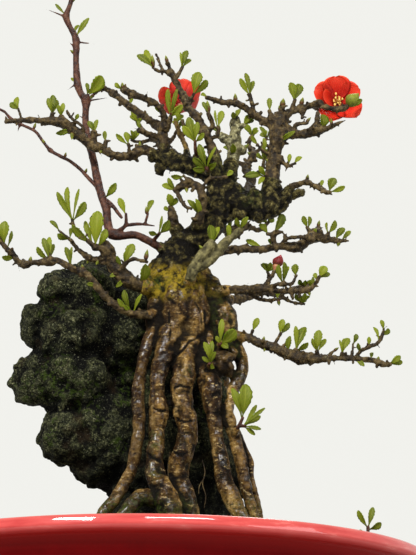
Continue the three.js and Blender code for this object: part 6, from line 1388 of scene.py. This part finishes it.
def trunk_mesh():
    """The wood's skin pushed along its normals by ridges that run up the roots, lumps, the swirl of the
    large burr and, on the bark above the roots, beads, less flat plates and the cracks. The knot hole is
    pushed back by its depth times exp(-d^2), where d is the distance from its middle over its radius."""
    mesh = trunk_skin()
    points, normals = points_of(mesh)
    across, up = seen_at(points)

    # Skin relief
    rough = fade(up, 117, 128)
    ridges = layered_noise(points * [1, 1, 0.28], 3.6, 3, 21) * 0.7
    lumps = layered_noise(points, 5.5, 3, 22) * 0.7
    plates = np.clip(layered_noise(points * [0.6, 0.6, 1.3], 3.2, 3, 23) - 0.2, 0, 1)
    beads = bead_noise(points, 3.2, 24) + 0.5 * bead_noise(points, 1.8, 25) - 0.6
    out = points - place(BURRS[0][:3])
    burr = np.linalg.norm(out, axis=1)
    swirl = np.exp(-(burr / 9) ** 4) * np.sin(burr * 1.9 + 1.5 * np.arctan2(out[:, 2], out[:, 0]))
    cracked = np.zeros(len(points))
    front = np.clip(-1.5 * normals[:, 1], 0, 1)
    waver = 1.2 * lattice_noise(points, 4, 61)
    for rows, width in CRACKS:
        cracked = np.maximum(cracked, front * np.exp(-(near_line(across + waver, up, rows) / width) ** 2))
    height = 0.4 * ridges + 0.5 * lumps - 0.6 * plates + 0.9 * rough * beads + 0.5 * swirl - 0.9 * cracked
    bulge = patch(across, up, BULGE)
    height = height * (1 - 0.65 * bulge)
    bare = 1 - fade(up + 3.5 * lattice_noise(points, 7, 3), 117, 126)
    points = points + normals * (height * (0.9 + 0.5 * rough))[:, None]
    away = np.linalg.norm((points - place(KNOT_HOLE[:3])) * [1, 0.6, 1], axis=1) / KNOT_HOLE[3]
    points = points + np.outer(np.exp(-away ** 2) * KNOT_HOLE_DEPTH, [0, 1, 0])
    move_points(mesh, points)

    # Marks for the finish
    burred = np.exp(-(burr / 9) ** 6)
    moss = np.clip(1 - fade(up, 0, 12) + 0.7 * fade(lattice_noise(points, 16, 8), 0.35, 0.7), 0, 1)
    middle = band(up, 74, 90, 103, 109) * band(across, 6, 12, 29, 34)
    left_root = (1 - fade(across, 0, 6)) * fade(up, 14, 30)
    patches = 0.3 * fade(lattice_noise(points, 13, 62), 0.0, 0.6)
    # The relief mark falls in the creases, the cracks and the knot hole, where old_wood paints shade.
    creased = standing_out(mesh, 40) * (1 - 0.6 * bulge) - 0.7 * cracked - 2.0 * np.exp(-away ** 2)
    marks = {
        "relief": np.clip(creased, -1.5, 1.5),
        "bare": bare,
        "crown": band(up, 104, 111, 120, 126) * (1 - 0.7 * fade(across, 20, 32)),
        # Painted shade in the hollow of the root crown (middle), a darker left root and random darker
        # patches.
        "shade": 0.12 * middle + 0.5 * left_root + patches,
        "burr": 0.8 * burred,
        # A patch at the foot of the roots, painted darker.
        "darker_low": 0.75 * patch(across, up, DARKER_FOOT),
        "moss": moss * (1 - burred) * (1 - 0.6 * (across > 8)),
    }
    for name, values in marks.items():
        set_mark(mesh, name, values)
    return mesh


def rock_mesh():
    """Lava rock: the lumps, beset with knobs at seeded places on their surfaces, under one skin, then
    raised in beads of three sizes, 11, 5 and 2.7 mm, and layered noise, with pits where a last noise is
    high."""
    draw = np.random.default_rng(77)
    parts = []
    for k, (across, up, depth, radius, stretch) in enumerate(ROCK_LUMPS):
        centre = place([across, up, depth])
        radii = np.array([radius, radius, radius * stretch]) * 0.96
        parts.append(ball(centre, radii, 14, 20, 700 + k, 0.16, 11))
        for _ in range(int(radius * 1.5)):
            aim = unit(draw.normal(size=3))
            knob = draw.uniform(2.2, 5.2)
            parts.append(ball(centre + aim * (radii - 0.45 * knob), knob, 6, 9, 5, 0.15, 3))
    mesh = fused("rock_lava", parts, ROCK_SKIN)
    points, normals = points_of(mesh)
    rough = layered_noise(points, 11, 4, 31)
    pits = fade(lattice_noise(points, 3.6, 37), 0.3, 0.7)
    beads = sum(share * bead_noise(points, size, seed) for share, size, seed in ROCK_BEADS)
    half = sum(share for share, _, _ in ROCK_BEADS) / 2
    height = 0.3 * rough + beads - half - 0.4 * pits
    points = points + normals * (height * 2.1)[:, None]
    points = inside_box(points, "rock")
    move_points(mesh, points)
    up = seen_at(points)[1]
    set_mark(mesh, "relief", standing_out(mesh, 60))
    # Painted shade: the rock darker towards its bottom, which faces away from the light.
    set_mark(mesh, "darker_low", 0.6 * (1 - fade(up, 10, 42)))
    low = 1 - fade(np.abs(up - 56) / 26, 0.5, 1.2)
    set_mark(mesh, "moss", np.clip(0.8 * low * fade(lattice_noise(points, 16, 41), 0.0, 0.5)
                                   + 0.9 * fade(lattice_noise(points, 11, 43), 0.45, 0.7), 0, 1))
    return mesh


def inside_box(points, node):
    """Points held within a node's box, grown by a millimetre."""
    low, high = (np.array(corner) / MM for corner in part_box(node))
    return np.clip(points, low - 1, high + 1)


# Blooms

def petal(heart, axis, outward, length, width, rise, draw):
    """A petal as a flat ring carried out from the heart, s going from 0 to 1: its half width is
    (sin(pi (0.12 + 0.86 s)^1.45))^0.62, from a narrow claw to a round end with a slight notch. It is cupped
    as the square of the distance from its middle, and rippled by two sine waves."""
    sideways = unit(np.cross(axis, outward))
    s = np.linspace(0.04, 1, 14)
    half = width / 2 * np.sin(np.pi * (0.12 + 0.86 * s) ** 1.45) ** 0.62
    half = np.maximum(half * np.clip(s * 3.2, 0.25, 1), 0.5)
    edge = np.concatenate([np.linspace(1, -1, 11), np.linspace(-0.8, 0.8, 9)])
    skin = np.concatenate([np.zeros(11), -np.ones(9)])
    ripple = 0.5 - draw.random()
    phase = draw.random() * 6
    notch = 1 - 0.035 * np.exp(-(edge / 0.18) ** 2) * s[:, None] ** 8
    out = length * s[:, None] * notch
    cup = (0.5 * edge ** 2 * half[:, None] + 0.9 * ripple * np.sin(4 * edge + phase) * s[:, None] ** 2
           + 0.2 * np.sin(11 * edge + phase) * np.abs(edge) * s[:, None] ** 2)
    climb = length * (s * math.sin(rise) + 0.24 * s ** 2 - 0.1 * s ** 5)[:, None]
    rings = (heart + (out * math.cos(rise))[..., None] * outward
             + (edge * half[:, None])[..., None] * sideways
             + (climb + cup + skin * 0.32)[..., None] * axis)
    return closed_rings(rings, rings[0].mean(axis=0), rings[-1].mean(axis=0),
                        ring_marks(s[:, None], 0.5 + 0.45 * edge))


def make_bloom(name, plan, seed):
    """Petals round a cup, a spray of stamens with anthers, and the calyx with its sepals."""
    draw = np.random.default_rng(seed)
    foot, heart = place(plan["foot"]), place(plan["heart"])
    axis = unit(place(np.asarray(plan["heart"]) + 5 * np.asarray(plan["axis"])) - heart)
    right = unit(np.array([1.0, 0, 0]) - axis[0] * axis)
    top = unit(np.cross(right, axis))
    top = top if top[2] > 0 else -top

    def outward(turn):
        """The direction square to the axis at a turn round it."""
        return math.cos(turn) * right + math.sin(turn) * top

    petals = [petal(heart - axis * (0.8 * (k % 2)), axis, outward(math.radians(turn)), length, width,
                    math.radians(rise), draw)
              for k, (turn, length, width, rise) in enumerate(plan["petals"])]
    petals.append(ball(heart, 1.9, 6, 10))
    fine_piece(f"{name}_petals", petals, finishes["petal"])

    base = heart + axis * 1.7
    filaments, anthers = [rod([base, base + axis * 4.2], [0.35, 0.2], 6)], []
    for k in range(plan["stamens"]):
        spread = 0.95 * math.sqrt((k + 0.5) / plan["stamens"])
        lean = unit(axis + outward(k * SPIRAL) * spread)
        tip = base + lean * draw.uniform(3.0, 5.8)
        filaments.append(rod([base, (base + tip) / 2 + axis * 0.15, tip], [0.24, 0.2, 0.18], 4))
        anthers.append(ball(tip, np.array([0.52, 0.42, 0.7]) * draw.uniform(0.75, 1.2), 4, 6))
    fine_piece(f"{name}_stamens", filaments + anthers, finishes["stamen"])

    stalk = unit(heart - foot)
    path = foot + np.linspace(0, 1, 6)[:, None] * (heart - foot)
    calyx = [rod(path, [1.2, 1.25, 1.4, 1.9, 2.3, 2.1], 12)]
    for k in range(5):
        out = outward(0.5 + k * 2 * math.pi / 5)
        start = heart - stalk * 1.4 + out * 1.6
        calyx.append(bud(start - stalk * 0.4, start + out * 1.2 + stalk * 2.2, 2.0))
    fine_piece(f"{name}_calyx", calyx, finishes["calyx"])


def make_flower_bud():
    """A closed bud: one round with four folds about it, and the calyx that holds them."""
    foot, tip = place(FLOWER_BUD["foot"]), place(FLOWER_BUD["tip"])
    along = unit(tip - foot)
    width = FLOWER_BUD["width"]
    start = foot + along * 1.6
    folds = [bud(start, tip, width, 12, 16)]
    for k in range(4):
        turn = k * math.pi / 2
        aside = np.array([math.cos(turn), math.sin(turn), 0]) * width * 0.16
        folds.append(bud(start + aside * 0.6, tip + aside - along * 1.2, width * 0.74, 10, 12))
    fine_piece("flower_bud_petals", folds, finishes["bud_red"])
    path = foot + np.linspace(-0.6, 2.4, 6)[:, None] * along
    cup = rod(path, [1.2, 1.3, 1.6, 2, 2.1, 1.7], 12)
    fine_piece("flower_bud_calyx", [cup], finishes["calyx"])


# Pot and soil

def pot_profile():
    """The pot's outline as [radius, height], from the middle of the underside to the middle of the floor.
    Each corner is cut to two points, 18% of the way to the middles of its sides."""
    lip_base = POT_HEIGHT - LIP_HEIGHT
    corners = np.array([
        [0.01, FOOT_HEIGHT - 2], [FOOT_INNER_RADIUS - 1, FOOT_HEIGHT - 2], [FOOT_INNER_RADIUS, 0.6],
        [FOOT_INNER_RADIUS + 1, 0], [FOOT_OUTER_RADIUS - 1, 0], [FOOT_OUTER_RADIUS, 0.6],
        [FOOT_OUTER_RADIUS + 1, FOOT_HEIGHT - 1], [WALL_RADIUS - 10, FOOT_HEIGHT + 13],
        [WALL_RADIUS - 3, FOOT_HEIGHT + 26], [WALL_RADIUS, lip_base - 8], [WALL_RADIUS + 1, lip_base],
        [POT_RADIUS - 1.6, lip_base + 0.4], [POT_RADIUS - 0.5, lip_base + 1.4],
        [POT_RADIUS, lip_base + 3], [POT_RADIUS - 0.25, POT_HEIGHT - 3.6],
        [POT_RADIUS - 0.75, POT_HEIGHT - 1.9], [POT_RADIUS - 1.2, POT_HEIGHT - 0.8],
        [POT_RADIUS - 1.8, POT_HEIGHT - 0.05],
        [POT_RADIUS - 5, POT_HEIGHT], [INNER_RADIUS + 3.4, POT_HEIGHT - 0.5],
        [INNER_RADIUS + 1.2, POT_HEIGHT - 2.4], [INNER_RADIUS, FLOOR_HEIGHT + 30],
        [INNER_RADIUS - 10, FLOOR_HEIGHT + 9], [FLOOR_RADIUS, FLOOR_HEIGHT], [0.01, FLOOR_HEIGHT],
    ], float)
    middle = 0.5 * (corners[:-1] + corners[1:])
    return np.vstack([corners[:1], *[
        np.vstack([0.18 * middle[k - 1] + 0.82 * corners[k], 0.18 * middle[k] + 0.82 * corners[k]])
        for k in range(1, len(corners) - 1)
    ], corners[-1:]])


def pot_mesh():
    """The profile turned round the upright axis. The foot is raised to the notch height where it is nearer
    to one of three spokes than half the notch's width. The drain holes are then cut through."""
    profile = pot_profile()
    rings = turned(profile, POT_FACETS)
    middle = 0.5 * (FOOT_INNER_RADIUS + FOOT_OUTER_RADIUS)
    for spoke in FOOT_NOTCH_DEGREES:
        off = full_turn(POT_FACETS) - math.radians(spoke) + math.pi
        off = np.abs(off % (2 * math.pi) - math.pi) * middle
        notch = (off < FOOT_NOTCH_WIDTH / 2) & (profile[:, :1] > FOOT_INNER_RADIUS - 3)
        rings[..., 2] = np.where(notch, np.maximum(rings[..., 2], FOOT_NOTCH_HEIGHT - 1), rings[..., 2])
    bowl = closed_rings(rings, [0, 0, profile[0, 1]], [0, 0, profile[-1, 1]])
    made = added("pot_turned", mesh_from("pot_turned", bowl))
    cutters = []
    for x in (-DRAIN_OFFSET, DRAIN_OFFSET):
        plug = turned([[DRAIN_RADIUS, height] for height in DRAIN_CUT], 40, (x, 0))
        plug = closed_rings(plug, *([x, 0, height] for height in DRAIN_CUT))
        cutters.append(added("drain_cutter", mesh_from("drain_cutter", plug)))
        cut = made.modifiers.new("drain", "BOOLEAN")
        cut.operation, cut.object, cut.solver = "DIFFERENCE", cutters[-1], "EXACT"
    mesh = finished_mesh("pot_glazed", made)
    for cutter in cutters:
        bpy.data.objects.remove(cutter)
    mesh.shade_smooth()
    return mesh


def soil_height(radius):
    """Height of the soil's mound: (0.5 + 0.5 cos(pi t))^0.9 from the crown, t = 0, to the edge, t = 1."""
    t = np.clip(radius / INNER_RADIUS, 0, 1)
    return SOIL_EDGE_HEIGHT + (SOIL_CROWN_HEIGHT - SOIL_EDGE_HEIGHT) * (0.5 + 0.5 * np.cos(np.pi * t)) ** 0.9


def soil_mound():
    """The mound with a crumbled top, crumbs about 3.4 mm across over waves of 14 mm, lower at the edge,
    closed below by a plain bowl that follows the pot's inner wall."""
    reach = np.sqrt(np.linspace(0.0004, 1, SOIL_RINGS)) * (INNER_RADIUS - 1)
    bowl = [[INNER_RADIUS - 1.5, FLOOR_HEIGHT + 30], [INNER_RADIUS - 11, FLOOR_HEIGHT + 10],
            [FLOOR_RADIUS - 1, FLOOR_HEIGHT + 2.5], [2, FLOOR_HEIGHT + 2.5]]
    rings = turned([[r, soil_height(r)] for r in reach] + bowl, SOIL_FACETS)
    top = rings[:SOIL_RINGS]
    crumbs = layered_noise(top, 3.4, 3, 51) * 0.9 + layered_noise(top, 14, 2, 55) * 1.1
    top[..., 2] += crumbs * np.linspace(1, 0.3, SOIL_RINGS)[:, None] - 0.6
    return closed_rings(rings[::-1], [0, 0, FLOOR_HEIGHT + 2.5], [0, 0, top[0, :, 2].mean()])


def soil_grit():
    """Grains on the soil, at seeded places, each a low ball of a few faces."""
    draw = np.random.default_rng(909)
    radius = (INNER_RADIUS - 4) * np.sqrt(draw.random(GRAINS))
    turn = draw.random(GRAINS) * 2 * math.pi
    size = draw.uniform(0.7, 1.9, GRAINS)
    return [
        ball([r * math.cos(a), r * math.sin(a), soil_height(r) + 0.2 * g],
             [g, g * draw.uniform(0.7, 1), g * 0.75], 4, 6, k, 0.25, 1.5)
        for k, (r, a, g) in enumerate(zip(radius, turn, size))
    ]


# Putting it together

finishes = {
    "twig": bark("twig_bark", "100A05", "332713", "625232"),
    "whip": bark("whip_bark", "1A0C08", "3C2015", "60402E", "7E6C5C", 0.68, 0.42),
    "ochre": bark("ochre_bark", "2C2210", "5C481E", "8A7036", "A2925C", 0.64, 0.6),
    "lichen": bark("lichen_bark", "1F1D12", "514C32", "88825C", "A6A27E", 0.52, 0.75),
    "smooth_grey": bark("smooth_grey_bark", "2A2614", "565032", "7C744C", "8C8660", 0.7, 0.7),
    "leaf": leaf_finish("leaf", "394104", "636A12", "696C1C"),
    "bud": bud_finish(),
    # The petals' dark tones at the heart are partly painted shade deep in the cup.
    "petal": petal_finish("petal", "5E0402", "920A05", "B8240E", "C63A24"),
    "bud_red": petal_finish("bud_red", "3E3018", "5A1814", "600C12", "8C202A"),
    "stamen": plain_finish("stamen", "B08634", "E0BE66", 1.2, 0.6, 0.05, Specular_IOR_Level=0.2),
    "calyx": plain_finish("calyx", "6E2A1C", "9A6A3C", 2.0, 0.5, 0.1),
}

# A stem's kind of bark, its finish and its slot
WOOD = {
    "twig": ("twig", "bark"), "whip": ("whip", "red_bark"), "ochre": ("ochre", "ochre_bark"),
    "lichen": ("lichen", "lichen_bark"), "leaf": ("whip", "leaf"),
    "smooth_grey": ("smooth_grey", "lichen_bark"),
}

# Branches shaped as their table's bark says but finished as another
OWN_BARK = {"branch_lichen": "lichen", "branch_front_grey": "smooth_grey"}

piece("trunk_and_roots", trunk_mesh(), old_wood(), ["trunk"])
piece("rock_lava", rock_mesh(), rock_finish(), ["rock"])
hairs = [wood_rod(rows, 6, 90, 0.2, step=1.0) for rows in ROOTLETS]
loose_piece("fine_rootlets", hairs, finishes["twig"])

for index, (name, plan) in enumerate(STEMS.items()):
    wood, lines = stem_wood(name, plan, 1000 + 60 * index)
    finish, slot = WOOD[OWN_BARK.get(name, plan.get("bark", "twig"))]
    piece(f"{name}_wood", wood, finishes[finish], [name])
    leaves, buds = stem_leaves(plan, lines, 4000 + index)
    if leaves:
        loose_piece(f"{name}_leaves", leaves, finishes["leaf"])
    if buds:
        loose_piece(f"{name}_buds", buds, finishes["bud"])

for index, (name, plan) in enumerate(BLOOMS.items()):
    make_bloom(name, plan, 60 + index)
make_flower_bud()

piece("pot_glazed", pot_mesh(), glaze_finish(), ["pot"])
loose_piece("soil_mound", [soil_mound()], soil_finish(), ["soil"])
loose_piece("soil_grit", soil_grit(), plain_finish("grit", "2A2119", "8A7A5E", 3.0, 0.9, 0.3))

screen = plain_finish("screen_mesh", "121314", "25282A", 3.0, 0.7, 0.1)
for side in ("left", "right"):
    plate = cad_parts[f"drain_screen_{side}"]
    plate.data.materials.clear()
    plate.data.materials.append(screen)


# Stage, lights and camera

stage = turned([[1, -STAGE_THICKNESS], [STAGE_RADIUS, -STAGE_THICKNESS], [STAGE_RADIUS, 0], [1, 0]], 96)
stage = mesh_from("floor_round", closed_rings(stage, [0, 0, -STAGE_THICKNESS], [0, 0, 0]))
stage.shade_flat()
pale = Finish("floor_pale", Roughness=0.9)
pale.feed((*linear("E4E5E1"), 1), "Base Color")
stage.materials.append(pale.material)
floor = added("floor_round", stage)

world = bpy.data.worlds.new("studio")
bpy.context.scene.world = world
world.use_nodes = True
sky = world.node_tree.nodes["Background"]
sky.inputs["Color"].default_value = (*linear("F7F7F2"), 1)
sky.inputs["Strength"].default_value = 0.95


def soft_light(name, spot, aim, width, depth, power):
    """An area light at a spot, turned to face a point, in millimetres."""
    light = bpy.data.lights.new(name, "AREA")
    light.shape, light.energy = "RECTANGLE", power
    light.size, light.size_y = width * MM, depth * MM
    made = added(name, light)
    spot, aim = np.array(spot) * MM, np.array(aim) * MM
    made.location = spot
    made.rotation_euler = Vector(aim - spot).to_track_quat("-Z", "Y").to_euler()


for light in LIGHTS:
    soft_light(*light)

bpy.context.scene.view_settings.view_transform = "Standard"

lens = bpy.data.cameras.new("view")
lens.sensor_width = SENSOR
lens.lens = SENSOR * VIEW_DISTANCE / VIEW_HEIGHT
lens.clip_start, lens.clip_end = 0.05, 20
camera = added("view", lens)
camera.location = EYE * MM
camera.rotation_euler = (math.pi / 2 + VIEW_TILT, 0, 0)
bpy.context.scene.camera = camera
